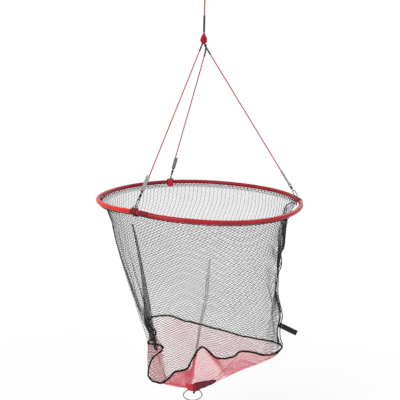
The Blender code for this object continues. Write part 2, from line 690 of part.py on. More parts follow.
def bottom_point(u, v):
    """Point on the lower netting, v running from 0 at the seam to 1 at the bottom fold."""
    base = keel_point(u)
    return beside_seam(u, base).lerp(base, v)


def net_turns():
    """Return the angles of the netting's columns: the two edges of each bar, then even steps to the next."""
    bay = 360.0 / NET_BAYS
    turns = []
    for i in range(NET_BAYS):
        edge = bay * i + BAR_TURN / 2
        turns.append(edge - BAR_TURN)
        turns += [edge + (bay - BAR_TURN) * k / BAY_STEPS for k in range(BAY_STEPS)]
    return [t % 360.0 for t in turns]


def wall_rows():
    """Return the depths of the upper netting's rows: the two edges of each bar round the bag."""
    rows = []
    for k in range(WALL_DEPTHS + 1):
        middle = BAR_DEPTH / 2 + (1.0 - BAR_DEPTH) * k / WALL_DEPTHS
        rows += [middle - BAR_DEPTH / 2, middle + BAR_DEPTH / 2]
    return rows


def leaning(u, v):
    """Lean the columns near the laced edge, so that one bar runs under the lacing all the way down."""
    laced = LACED_ANGLES[0] + (LACED_ANGLES[1] - LACED_ANGLES[0]) * v ** 2
    return u + (laced - LACED_BAR) * nearness(u, LACED_BAR, LEAN_SPREAD)


def thin_shell(name, bm, look):
    """Make a mesh of the bag's outer surface into netting, with its thickness on the inside."""
    mesh = bpy.data.meshes.new(name)
    bm.to_mesh(mesh)
    bm.free()
    obj = place(name, mesh, look)
    wall = obj.modifiers.new("wall", "SOLIDIFY")
    wall.thickness = NET_THICKNESS
    wall.offset = -1.0
    return obj


def net_strip(bm, upper, lower, step=1):
    """Join two rows round the bag by faces, in every column or only where the bars run down."""
    for i in range(0, len(upper), step):
        j = (i + 1) % len(upper)
        bm.faces.new((upper[i], lower[i], lower[j], upper[j]))


def build_wall_net():
    """Make the upper netting, a grid of bars with an opening in each bay."""
    bm = bmesh.new()
    rows = [[bm.verts.new(wall_point(leaning(u, v), v)) for u in net_turns()] for v in wall_rows()]
    for k, (upper, lower) in enumerate(zip(rows, rows[1:])):
        net_strip(bm, upper, lower, step=1 if k % 2 == 0 else BAY_STEPS + 1)
    return thin_shell("net_wall", bm, "black_net")


def build_bottom_net():
    """Make the lower netting, closed along the fold at the bag's bottom."""
    bm = bmesh.new()
    turns = net_turns()
    rows = [[bm.verts.new(bottom_point(leaning(u, 1.0), v)) for u in turns] for v in BOTTOM_ROWS]
    for upper, lower in zip(rows, rows[1:]):
        net_strip(bm, upper, lower)
    ring = rows[-1]
    left = min(i for i, u in enumerate(turns) if u > 180.0)
    for i in range(len(ring) // 2 - 1):
        front, back = ring[(left + i) % len(ring)], ring[left - i - 1]
        next_front, next_back = ring[(left + i + 1) % len(ring)], ring[left - i - 2]
        bm.faces.new((back, next_back, next_front, front))
    return thin_shell("net_bottom", bm, "red_net")


def build_bag():
    """Make the bag: rim cord, upper and lower netting, seam cord and the lacing down its side."""
    span = RIM_TO - RIM_FROM
    rim = [hoop_point(RIM_FROM + span * i / 63, inset=RIM_CORD_INSET, drop=RIM_CORD_DROP) for i in range(64)]
    tube("rim_cord", rim, RIM_CORD_RADIUS, "black_cord", rings=1)
    build_wall_net()
    build_bottom_net()
    seam = [seam_point(leaning(u, 1.0)) for u in net_turns()]
    tube("seam_cord", seam, SEAM_RADIUS, "black_cord", closed=True, rings=1)
    lacing = smooth_route([under_hoop(p) for p in SIDE_LACING], 72)
    tube("side_lacing", lacing, LACING_RADIUS, "black_cord", rings=1)
    opening = smooth_route([under_hoop(p) for p in OPENING_CORD], 20)
    tube("opening_cord", opening, RIM_CORD_RADIUS, "black_cord", rings=1)


def build_bag_end():
    """Make the rolled end of the bag, the tie round the ring's bar, and the ring."""
    start, end = under_hoop(ROLL_FROM), under_hoop(ROLL_TO)
    turn = (start - end).to_track_quat("Z", "Y").to_matrix().to_4x4()
    length = (end - start).length
    big, small = ROLL_RADII
    profile = ((big * 0.55, 0.0), (big * 0.92, -0.0025), (big, -0.0080), (big * 0.86, -length * 0.35),
               ((big + small) / 2, -length * 0.65), (small, -length + 0.002), (small * 0.6, -length))
    turned("cod_roll", profile, "webbing", Matrix.Translation(start) @ turn)
    axis = under_hoop(RING_AXIS)
    swing = axis_empty("ring_swing_axis", axis)
    count = 16
    turns = [2 * math.pi * i / count for i in range(count)]
    tie = tube("cod_tie", [(0.0, TIE_RADIUS * math.cos(a), TIE_RADIUS * math.sin(a)) for a in turns],
               TIE_WIRE,
               "black_cord", closed=True, matrix=Matrix.Translation(axis))
    bm = bmesh.new()
    bmesh.ops.create_icosphere(bm, subdivisions=2, radius=TIE_KNOT_RADIUS)
    lump = bpy.data.objects.new("lump", to_mesh("lump", bm))
    bpy.context.scene.collection.objects.link(lump)
    lump.location = axis + Vector((0.0, -0.001, -TIE_RADIUS - TIE_KNOT_RADIUS))
    bpy.context.view_layer.update()
    depsgraph = bpy.context.evaluated_depsgraph_get()
    ring_mesh = bpy.data.meshes.new_from_object(tie.evaluated_get(depsgraph))
    bpy.data.objects.remove(tie)
    tie = place("cod_tie", ring_mesh, "black_cord", Matrix.Translation(axis))
    bpy.context.view_layer.update()
    combine(tie, [lump], "UNION")
    shape = [(x, 0.0, z) for x, z in BOTTOM_RING]
    middle = axis.copy()
    middle.x = 0.0
    tube("bottom_ring", smooth_route(shape, 40, closed=True), BOTTOM_RING_WIRE, "steel", closed=True,
         matrix=Matrix.Translation(middle), parent=swing)


def build_strap():
    """Make the strap at the bag's side and the stitched patch that it flexes from."""
    root, tip = under_hoop(STRAP_ROOT), under_hoop(STRAP_TIP)
    out = (tip - root).normalized()
    up = Vector(STRAP_UP)
    up = (up - out * up.dot(out)).normalized()
    face = out.cross(up)
    frame = Matrix((out, face, up)).transposed().to_4x4()
    frame.translation = root
    length = (tip - root).length
    half = STRAP_THICKNESS / 2
    turn = [math.radians(180.0 * i / STRAP_END_SIDES) for i in range(STRAP_END_SIDES + 1)]
    rounded = [(-half * math.sin(a), half * math.cos(a)) for a in turn]
    near, far = -STRAP_BASE_LENGTH, -half - TOUCH_GAP
    outlines = (("strap", rounded + [(length, -half), (length, half)]),
                ("strap_base", [(near, half), (near, -half), (far, -half), (far, half)]))
    for name, outline in outlines:
        bm = bmesh.new()
        rows = [[bm.verts.new((x, y, z)) for x, y in outline] for z in (-STRAP_WIDTH / 2, STRAP_WIDTH / 2)]
        bm.faces.new(rows[0])
        bm.faces.new(rows[1])
        for i in range(len(outline)):
            j = (i + 1) % len(outline)
            bm.faces.new((rows[0][i], rows[0][j], rows[1][j], rows[1][i]))
        place(name, to_mesh(name, bm, smooth=False), "strap", frame)


def build_drop_net():
    """Build the whole net, from the hand loop down to the ring."""
    clear_scene()
    build_hanging_rope()
    for leg in LEGS:
        Leg(*leg).build()
    build_hoop()
    build_bag()
    build_bag_end()
    build_strap()


build_drop_net()
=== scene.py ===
"""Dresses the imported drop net: netting, cords, webbing, padded hoop, hardware, and the studio round it.

Lengths are metres, +Z is up, -Y is the front, and the origin is the inside top of the hand loop.
Heights that are called "over the hoop" are measured from the hoop's level.
"""

import logging
import math
from dataclasses import dataclass, field
from enum import Enum
from functools import cache
from typing import Callable, Sequence

import bpy
import numpy as np
from bpy.types import ID, Material, Mesh, Node, NodeSocket as Socket, NodeTree, Object
from mathutils import Euler, Matrix, Vector


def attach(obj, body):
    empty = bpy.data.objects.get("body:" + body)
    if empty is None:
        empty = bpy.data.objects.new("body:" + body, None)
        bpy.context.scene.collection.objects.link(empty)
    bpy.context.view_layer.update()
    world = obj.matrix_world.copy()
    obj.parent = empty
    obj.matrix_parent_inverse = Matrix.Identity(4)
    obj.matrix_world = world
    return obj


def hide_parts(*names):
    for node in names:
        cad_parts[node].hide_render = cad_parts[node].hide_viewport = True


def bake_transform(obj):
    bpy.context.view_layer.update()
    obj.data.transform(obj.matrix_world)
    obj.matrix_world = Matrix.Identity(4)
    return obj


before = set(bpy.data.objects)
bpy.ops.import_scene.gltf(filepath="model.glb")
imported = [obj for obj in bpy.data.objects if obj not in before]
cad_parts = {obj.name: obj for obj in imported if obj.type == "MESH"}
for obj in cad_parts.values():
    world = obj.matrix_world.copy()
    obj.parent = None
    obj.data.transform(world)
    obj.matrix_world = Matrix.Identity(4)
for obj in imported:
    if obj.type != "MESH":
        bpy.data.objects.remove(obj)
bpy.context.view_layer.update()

log = logging.getLogger("drop_net")
Points = np.ndarray
Place = tuple[float, float, float]
Rows = Sequence[Sequence[float]]
Colour = tuple[float, float, float]
BLACK: Colour = (0.0, 0.0, 0.0)
WHITE: Colour = (1.0, 1.0, 1.0)
FULL_TURN = 2.0 * math.pi
UP: Place = (0.0, 0.0, 1.0)


class Body(Enum):
    """The CAD bodies that pieces ride on."""

    HAND_LOOP = "hand_loop"
    ROPE = "rope"
    NET = "net"
    BAG_END = "bag_end"
    RING = "ring"
    STRAP_PATCH = "strap_patch"
    STRAP = "strap"


Carrier = Body | str | None


# ---- node trees and finishes


class NodeBench:
    """A node tree, with one short call to add a node and feed its inputs."""

    def __init__(self, tree: NodeTree) -> None:
        """Keep the tree that the nodes go in."""
        self.tree = tree

    def feed(self, socket: Socket, value: object) -> None:
        """Join a socket to another one, or set it to a plain value.

        Args:
            socket: the input to feed.
            value: an output socket, a number or a tuple.
        """
        if isinstance(value, Socket):
            self.tree.links.new(value, socket)
        else:
            socket.default_value = value

    def node(self, kind: str, feeds: dict[str | int, object] | None = None, **settings: object) -> Node:
        """Add a node.

        Args:
            kind: Blender's name of the node.
            feeds: what goes into its inputs, by name or number.
            settings: the node's own options.

        Returns:
            The node.
        """
        made = self.tree.nodes.new(kind)
        for name, value in settings.items():
            setattr(made, name, value)
        for key, value in (feeds or {}).items():
            self.feed(made.inputs[key], value)
        return made


class NodeSheet(NodeBench):
    """The node tree of one material, with short calls for what its patterns need."""

    def __init__(self, name: str) -> None:
        """Start a material with a Principled shader.

        Args:
            name: the material's name.
        """
        self.material = bpy.data.materials.new(name)
        self.material.use_nodes = True
        super().__init__(self.material.node_tree)
        self.shader = self.tree.nodes["Principled BSDF"]
        places = self.node("ShaderNodeTexCoord")
        self.place, self.uv = places.outputs["Object"], places.outputs["UV"]

    def math(self, operation: str, a: object, b: object = 0.0, c: object = 0.0) -> Socket:
        """Return a sum of values or sockets, by Blender's name for it."""
        return self.node("ShaderNodeMath", {0: a, 1: b, 2: c}, operation=operation).outputs[0]

    def mapped(self, source: Socket, scale: Sequence[float]) -> Socket:
        """Return a coordinate scaled along x, y and z."""
        return self.node("ShaderNodeMapping", {"Vector": source, "Scale": scale}).outputs[0]

    def noise(self, source: Socket, scale: float, detail: float = 3.0) -> Socket:
        """Return noise of 0 to 1 on a coordinate, with so many octaves of finer noise."""
        return self.node("ShaderNodeTexNoise", {"Vector": source, "Scale": scale, "Detail": detail}).outputs["Fac"]

    def ramp(self, amount: Socket, stops: Sequence[tuple[float, Colour]]) -> Socket:
        """Turn an amount into a colour through a ramp.

        Args:
            amount: value from 0 to 1.
            stops: (place, colour) pairs, in order.

        Returns:
            The ramp's colour.
        """
        node = self.node("ShaderNodeValToRGB", {0: amount})
        elements = node.color_ramp.elements
        while len(elements) < len(stops):
            elements.new(0.5)
        for element, (place, colour) in zip(elements, stops):
            element.position = place
            element.color = (*colour, 1.0)
        return node.outputs[0]

    def mix(self, share: object, a: object, b: object) -> Socket:
        """Return a mix of two colours or sockets, with the second one's share."""
        a, b = ((*value, 1.0) if isinstance(value, tuple) else value for value in (a, b))
        return self.node("ShaderNodeMix", {0: share, 6: a, 7: b}, data_type="RGBA").outputs[2]

    def between(self, amount: Socket, low: float, high: float) -> Socket:
        """Spread an amount of 0 to 1 over low to high."""
        return self.math("MULTIPLY_ADD", amount, high - low, low)

    def bump(self, height: Socket, strength: float, distance: float, under: Socket | None = None) -> Socket:
        """Return the normal bent by a relief of 0 to 1, so many metres high, that may lie on another bump."""
        feeds = {"Strength": strength, "Distance": distance, "Height": height}
        return self.node("ShaderNodeBump", feeds | ({"Normal": under} if under else {})).outputs[0]

    def split(self, source: Socket) -> tuple[Socket, Socket]:
        """Return the x and y of a coordinate."""
        outputs = self.node("ShaderNodeSeparateXYZ", {0: source}).outputs
        return outputs[0], outputs[1]

    def wave(self, source: Socket, cycles: float) -> Socket:
        """Return a sine of the source, with that many cycles for each unit of it."""
        return self.math("SINE", self.math("MULTIPLY", source, FULL_TURN * cycles))

    def crossed(self, turns: Socket, run: Socket) -> Socket:
        """Return the relief of strands that cross, 0 in the gaps and 1 on the crowns."""
        one, other = (self.wave(self.math(way, turns, run), 1.0) for way in ("ADD", "SUBTRACT"))
        return self.between(self.math("MULTIPLY", one, other), 0.5, 1.0)

    def dress(self, **settings: object) -> Material:
        """Feed the shader's sockets and hand the material over.

        Args:
            settings: socket names, with _ for a space, and what each gets.

        Returns:
            The finished material.
        """
        for name, value in settings.items():
            socket = self.shader.inputs[name.replace("_", " ")]
            self.feed(socket, (*value, 1.0) if isinstance(value, tuple) else value)
        return self.material


@dataclass(frozen=True)
class Finish:
    """What every finish has: its material's name and a slot name."""

    name: str
    slot: str

    def build(self) -> Material:
        """Build the finish's own material."""
        raise NotImplementedError(self.name)


@dataclass(frozen=True)
class CordFinish(Finish):
    """Braided cord: diagonal strands that cross round it, with painted shade in the gaps and dust on the crowns."""

    colour: Colour
    gaps: Colour
    pitch: float
    strands: int = 4
    roughness: float = 0.75
    gloss: float = 0.3

    def build(self) -> Material:
        """Build the cord's material, which reads the UV map: metres along, turns round.

        Returns:
            The material.
        """
        sheet = NodeSheet(self.name)
        along, around = sheet.split(sheet.uv)
        turns = sheet.math("MULTIPLY", around, float(self.strands))
        relief = sheet.crossed(turns, sheet.math("MULTIPLY", along, 1.0 / self.pitch))
        dust = sheet.noise(sheet.place, 220.0)
        crown = sheet.math("MULTIPLY_ADD", dust, 0.5, sheet.math("MULTIPLY", relief, 0.5))
        # Painted shade: the gaps between the strands take the gaps colour; the dust noise changes the crowns' tone at
        # random.
        colour = sheet.ramp(crown, ((0.15, self.gaps), (0.62, self.colour)))
        fibre = sheet.noise(sheet.mapped(sheet.uv, (900.0, 40.0, 1.0)), 1.0)
        normal = sheet.bump(relief, 0.8, self.pitch * 0.1, sheet.bump(fibre, 0.25, 0.0002))
        return sheet.dress(Base_Color=colour, Roughness=self.roughness, Normal=normal, Specular_IOR_Level=self.gloss)


@dataclass(frozen=True)
class NetFinish(Finish):
    """Twisted twine of the netting, with small changes of tone from strand to strand."""

    dark: Colour
    light: Colour
    roughness: float = 0.6

    def build(self) -> Material:
        """Build the twine's material, which reads Object coordinates.

        Returns:
            The material.
        """
        sheet = NodeSheet(self.name)
        tone = sheet.ramp(sheet.noise(sheet.place, 70.0), ((0.3, self.dark), (0.7, self.light)))
        twist = sheet.noise(sheet.mapped(sheet.place, (1500.0, 1500.0, 2600.0)), 1.0, 1.0)
        return sheet.dress(Base_Color=tone, Roughness=self.roughness, Normal=sheet.bump(twist, 0.4, 0.0002),
                           Specular_IOR_Level=0.2)


@dataclass(frozen=True)
class PaddedSleeveFinish(Finish):
    """Glossy coated cloth of the hoop's sleeve, creased across its length.

    Its colour carries painted light: a painted highlight at the front left, painted shade over the back, and the
    deepest painted shade at the back left.
    """

    bright: Colour
    deep: Colour
    painted_back_shade: Colour
    painted_highlight_and_lighter_start: Colour
    highlight_left_of: float = -0.172
    highlight_front_of: float = -0.02

    def build(self) -> Material:
        """Build the sleeve's material. Its UV map holds the share of the way round and of the girth.

        Returns:
            The material.
        """
        sheet = NodeSheet(self.name)
        tone = sheet.ramp(sheet.noise(sheet.place, 16.0), ((0.35, self.deep), (0.65, self.bright)))
        x, y = sheet.split(sheet.place)
        # Painted shade: the colour turns towards the back colour from the middle of the hoop to its back (+y), three
        # quarters at most.
        behind = sheet.ramp(sheet.math("MULTIPLY_ADD", y, 1.7, 0.5), ((0.45, BLACK), (0.95, WHITE)))
        # Painted highlight: the hoop's front left takes the highlight colour.
        near = sheet.math("MULTIPLY", sheet.math("LESS_THAN", x, self.highlight_left_of),
                          sheet.math("LESS_THAN", y, self.highlight_front_of))
        # Painted shade at the back: the deepest shade colour at the back left, the plain deep colour at the back right.
        right = sheet.ramp(sheet.math("MULTIPLY_ADD", x, 3.0, 0.5), ((0.15, BLACK), (0.35, WHITE)))
        back = sheet.mix(right, self.painted_back_shade, self.deep)
        colour = sheet.mix(sheet.math("MULTIPLY", behind, 0.75), sheet.mix(near, tone, self.painted_highlight_and_lighter_start), back)
        round_hoop, round_girth = sheet.split(sheet.uv)
        threads = sheet.math("MULTIPLY", sheet.wave(round_hoop, 1800.0), sheet.wave(round_girth, 38.0))
        crease = sheet.noise(sheet.mapped(sheet.uv, (330.0, 2.2, 1.0)), 1.0, 4.0)
        normal = sheet.bump(sheet.between(threads, 0.5, 1.0), 0.12, 0.0003, sheet.bump(crease, 0.55, 0.0012))
        rough = sheet.between(sheet.noise(sheet.place, 90.0), 0.26, 0.46)
        return sheet.dress(Base_Color=colour, Roughness=rough, Normal=normal, Coat_Weight=0.06, Coat_Roughness=0.3,
                           Specular_IOR_Level=0.18)


@dataclass(frozen=True)
class RubberFinish(Finish):
    """Matt black shrink sleeve with dust in its pores."""

    colour: Colour
    dust: Colour

    def build(self) -> Material:
        """Build the sleeve's material, which reads Object coordinates.

        Returns:
            The material.
        """
        sheet = NodeSheet(self.name)
        colour = sheet.ramp(sheet.noise(sheet.place, 160.0, 5.0), ((0.45, self.colour), (0.8, self.dust)))
        pores = sheet.noise(sheet.place, 2200.0, 2.0)
        ridges = sheet.noise(sheet.mapped(sheet.place, (60.0, 60.0, 900.0)), 1.0, 2.0)
        normal = sheet.bump(pores, 0.3, 0.0002, sheet.bump(ridges, 0.3, 0.0005))
        return sheet.dress(Base_Color=colour, Roughness=sheet.between(pores, 0.38, 0.62), Normal=normal)


@dataclass(frozen=True)
class MetalFinish(Finish):
    """Drawn or plated metal with fine scratches and duller, handled patches."""

    colour: Colour
    worn: Colour
    roughness: tuple[float, float]
    metallic: float = 1.0

    def build(self) -> Material:
        """Build the metal's material, which reads Object coordinates.

        Returns:
            The material.
        """
        sheet = NodeSheet(self.name)
        wear = sheet.noise(sheet.place, 320.0, 4.0)
        colour = sheet.ramp(wear, ((0.4, self.colour), (0.75, self.worn)))
        scratch = sheet.noise(sheet.mapped(sheet.place, (3500.0, 3500.0, 300.0)), 1.0, 2.0)
        return sheet.dress(Base_Color=colour, Metallic=self.metallic, Roughness=sheet.between(wear, *self.roughness),
                           Normal=sheet.bump(scratch, 0.25, 0.0001))


@dataclass(frozen=True)
class WebbingFinish(Finish):
    """Woven strap: ribs across it and herringbone threads along it, with painted shade in the gaps between the threads.
    """

    colour: Colour
    gaps: Colour
    thread: float = 0.0011
    roughness: float = 0.8

    def build(self) -> Material:
        """Build the webbing's material, which reads the UV map in metres.

        Returns:
            The material.
        """
        sheet = NodeSheet(self.name)
        along, across = sheet.split(sheet.uv)
        ribs, rows = (sheet.wave(way, 1.0 / self.thread) for way in (along, across))
        slant = sheet.wave(sheet.math("ADD", along, across), 0.5 / self.thread)
        relief = sheet.between(sheet.math("MULTIPLY_ADD", slant, 0.4, sheet.math("MULTIPLY", ribs, rows)), 0.5, 0.85)
        lint = sheet.noise(sheet.place, 260.0)
        crown = sheet.math("MULTIPLY_ADD", lint, 0.45, sheet.math("MULTIPLY", relief, 0.55))
        # Painted shade: the gaps between the threads take the gaps colour; the lint noise changes the tone at random.
        colour = sheet.ramp(crown, ((0.2, self.gaps), (0.75, self.colour)))
        return sheet.dress(Base_Color=colour, Roughness=self.roughness, Normal=sheet.bump(relief, 0.8, 0.0003))


@dataclass(frozen=True)
class GatheredNetFinish(Finish):
    """Netting rolled up tight: red twine, with painted shade in the gaps between its folds that comes and goes along
    it, and lighter at its start.
    """

    red: Colour
    dark: Colour
    painted_highlight_and_lighter_start: Colour
    folds_round: float = 9.0
    folds_along: float = 260.0
    fresh_length: tuple[float, float] = (0.012, 0.02)

    def build(self) -> Material:
        """Build the roll's material, which reads the UV map: metres along, turns round.

        Returns:
            The material.
        """
        sheet = NodeSheet(self.name)
        along, around = sheet.split(sheet.uv)
        relief = sheet.crossed(sheet.math("MULTIPLY", around, self.folds_round),
                               sheet.math("MULTIPLY", along, self.folds_along))
        mottle = sheet.noise(sheet.place, 260.0, 4.0)
        amount = sheet.math("MULTIPLY_ADD", relief, 0.35, sheet.math("MULTIPLY", mottle, 0.7))
        # Painted shade: the gaps between the folds take the dark colour; the mottle noise changes the tone at random.
        colour = sheet.ramp(amount, ((0.32, self.dark), (0.62, self.red)))
        end = sheet.ramp(along, ((0.0, WHITE), (self.fresh_length[0], WHITE), (self.fresh_length[1], BLACK)))
        colour = sheet.mix(sheet.math("MULTIPLY", end, 0.7), colour, self.painted_highlight_and_lighter_start)
        return sheet.dress(Base_Color=colour, Roughness=0.7, Normal=sheet.bump(relief, 0.9, 0.0008))


# The second colour of each cord, webbing and gathered netting finish is painted shade in the gaps of its braid, weave
# or folds.
CORD_BLACK: Colour = (0.012, 0.011, 0.011)
CORD_GAP_SHADE: Colour = (0.003, 0.003, 0.003)
ROPE = CordFinish("rope_braid", "rope", (0.62, 0.024, 0.06), (0.36, 0.014, 0.036), 0.005)
LEG_CORD = CordFinish("leg_cord_braid", "rope", (0.62, 0.018, 0.04), (0.4, 0.012, 0.026), 0.0042)
KNOT_CORD = CordFinish("knot_cord", "knot_red", (0.66, 0.01, 0.038), (0.2, 0.003, 0.014), 0.0032)
BLACK_CORD = CordFinish("black_lacing_cord", "black_cord", CORD_BLACK, CORD_GAP_SHADE, 0.0036, gloss=0.1)
BLACK_THREAD = CordFinish("black_thread", "black_cord", CORD_BLACK, CORD_GAP_SHADE, 0.0016, gloss=0.1)
BLACK_NET = NetFinish("black_netting", "black_net", (0.008, 0.008, 0.008), (0.022, 0.021, 0.021))
RED_NET = NetFinish("red_netting", "red_net", (1.0, 0.17, 0.23), (1.0, 0.24, 0.31))
# In each sleeve finish the third colour is painted shade for the back left and the fourth is a painted highlight for
# the front left.
HOOP_RED = PaddedSleeveFinish("hoop_sleeve_cloth", "sleeve_red", (0.52, 0.018, 0.024), (0.36, 0.012, 0.02),
                              (0.2, 0.008, 0.024), (0.82, 0.016, 0.016))
CUFF_RED = PaddedSleeveFinish("hoop_cuff_cloth", "sleeve_red", (0.34, 0.008, 0.016), (0.16, 0.004, 0.008),
                              (0.16, 0.004, 0.01), (0.34, 0.008, 0.016))
SHRINK = RubberFinish("black_shrink_sleeve", "black_sleeve", (0.006, 0.006, 0.006), (0.018, 0.016, 0.017))
CRIMP = MetalFinish("dull_crimp", "crimp", (0.26, 0.26, 0.255), (0.4, 0.4, 0.39), (0.42, 0.62), 0.3)
NICKEL = MetalFinish("black_nickel_plate", "black_nickel", (0.006, 0.006, 0.006), (0.016, 0.015, 0.015),
                     (0.4, 0.6), 0.5)
STEEL = MetalFinish("plain_steel_wire", "steel", (0.13, 0.135, 0.135), (0.26, 0.26, 0.255), (0.25, 0.45), 0.9)
TAB_RED = WebbingFinish("red_tab_webbing", "webbing", (0.85, 0.02, 0.05), (0.34, 0.008, 0.02))
TAB_DARK = WebbingFinish("dark_red_tab_webbing", "webbing", (0.26, 0.008, 0.02), (0.06, 0.003, 0.006))
STRAP_BLACK = WebbingFinish("black_strap_webbing", "strap", (0.01, 0.01, 0.01), CORD_GAP_SHADE, 0.0013)
ROLLED = GatheredNetFinish("rolled_netting", "webbing", (0.24, 0.01, 0.035), (0.01, 0.004, 0.008),
                           (0.5, 0.01, 0.04))
BUNCHED = GatheredNetFinish("bunched_netting", "webbing", (0.85, 0.04, 0.08), (0.3, 0.008, 0.024),
                            (0.9, 0.06, 0.1))


@cache
def material_of(look: Finish) -> Material:
    """Return a finish's material, built once."""
    return look.build()


# ---- shapes


class SmoothTable:
    """A smooth curve through rows of a place and its values, open or going round."""

    def __init__(self, rows: Rows, period: float | None = None) -> None:
        """Keep the rows.

        Args:
            rows: (place, values...) in order.
            period: the length of a full round, for a table that goes round.
        """
        table = np.array(rows, float)
        self.period = period
        self.first = table[0, 0]
        if period:
            before, after = table[-2:].copy(), table[:2].copy()
            before[:, 0] -= period
            after[:, 0] += period
            table = np.vstack((before, table, after))
        self.places = table[:, 0]
        self.values = table[:, 1:]

    def at(self, place: Points) -> Points:
        """Read the table.

        Args:
            place: one place or many.

        Returns:
            A row of values for each place.
        """
        t = np.atleast_1d(np.asarray(place, float))
        if self.period:
            t = self.first + (t - self.first) % self.period
        last = len(self.places) - 1
        i = np.clip(np.searchsorted(self.places, t) - 1, 1 if self.period else 0, last - 1)
        before, after = np.maximum(i - 1, 0), np.minimum(i + 2, last)
        p, v = self.places, self.values
        width = (p[i + 1] - p[i])[:, None]
        slope_a = (v[i + 1] - v[before]) / (p[i + 1] - p[before])[:, None]
        slope_b = (v[after] - v[i]) / (p[after] - p[i])[:, None]
        s = np.clip((t - p[i])[:, None] / width, 0.0, 1.0)
        return (v[i] * (2 * s ** 3 - 3 * s ** 2 + 1) + slope_a * width * (s ** 3 - 2 * s ** 2 + s)
                + v[i + 1] * (3 * s ** 2 - 2 * s ** 3) + slope_b * width * (s ** 3 - s ** 2))


def smooth_route(points: Rows, count: int, closed: bool = False) -> Points:
    """Spread points evenly along a smooth curve through a route.

    Args:
        points: the route's own points.
        count: how many points to return.
        closed: whether the route comes back to its start.

    Returns:
        The points, one row each.
    """
    ring = np.array(list(points) + ([points[0]] if closed else []), float)
    reach = np.concatenate(([0.0], np.cumsum(np.linalg.norm(np.diff(ring, axis=0), axis=1))))
    rows = np.column_stack((reach, ring))
    if closed:
        return SmoothTable(rows[:-1], reach[-1]).at(reach[-1] * np.arange(count) / count)
    return SmoothTable(rows).at(np.linspace(0.0, reach[-1], count))


def run_lengths(path: Points) -> Points:
    """Return the distance along a path at each of its points."""
    return np.concatenate(([0.0], np.cumsum(np.linalg.norm(np.diff(path, axis=0), axis=1))))


def unit(rows: Points) -> Points:
    """Return vectors scaled to length 1."""
    return rows / np.maximum(np.linalg.norm(rows, axis=-1, keepdims=True), 1e-12)


def wound(reach: Points | float, turn: Points, height: Points) -> Points:
    """Return points round the Z axis, from a radius, an angle in radians and a height for each."""
    return np.column_stack((reach * np.cos(turn), reach * np.sin(turn), height))


def upright(heights: Points) -> Points:
    """Return points on the Z axis."""
    return np.column_stack((np.zeros((len(heights), 2)), heights))


def round_angles(count: int) -> Points:
    """Return even angles round a full turn."""
    return FULL_TURN * np.arange(count) / count


def frames_along(path: Points, closed: bool, first: Sequence[float] | None = None) -> tuple[Points, Points, Points]:
    """Carry a pair of cross directions along a path without twisting them.

    Args:
        path: the path's points.
        closed: whether the path goes round.
        first: the wanted side direction at the start.

    Returns:
        The direction of travel and the two cross directions at each point.
    """
    ahead, behind = np.roll(path, -1, axis=0), np.roll(path, 1, axis=0)
    if not closed:
        ahead[-1], behind[0] = path[-1], path[0]
    travel = unit(ahead - behind)
    side = np.array(first if first is not None else (0.0, 0.0, 1.0), float)
    if first is None and abs(travel[0] @ side) > 0.9:
        side = np.array((0.0, 1.0, 0.0))
    sides = [unit(side - travel[0] * (travel[0] @ side))]
    for way in travel[1:]:
        sides.append(unit(sides[-1] - way * (way @ sides[-1])))
    side = np.array(sides)
    if closed:
        back = unit(side[-1] - travel[0] * (travel[0] @ side[-1]))
        angle = math.atan2(np.cross(back, side[0]) @ travel[0], back @ side[0])
        turn = (angle * np.arange(len(path)) / len(path))[:, None]
        side = side * np.cos(turn) + np.cross(travel, side) * np.sin(turn)
    return travel, side, np.cross(travel, side)


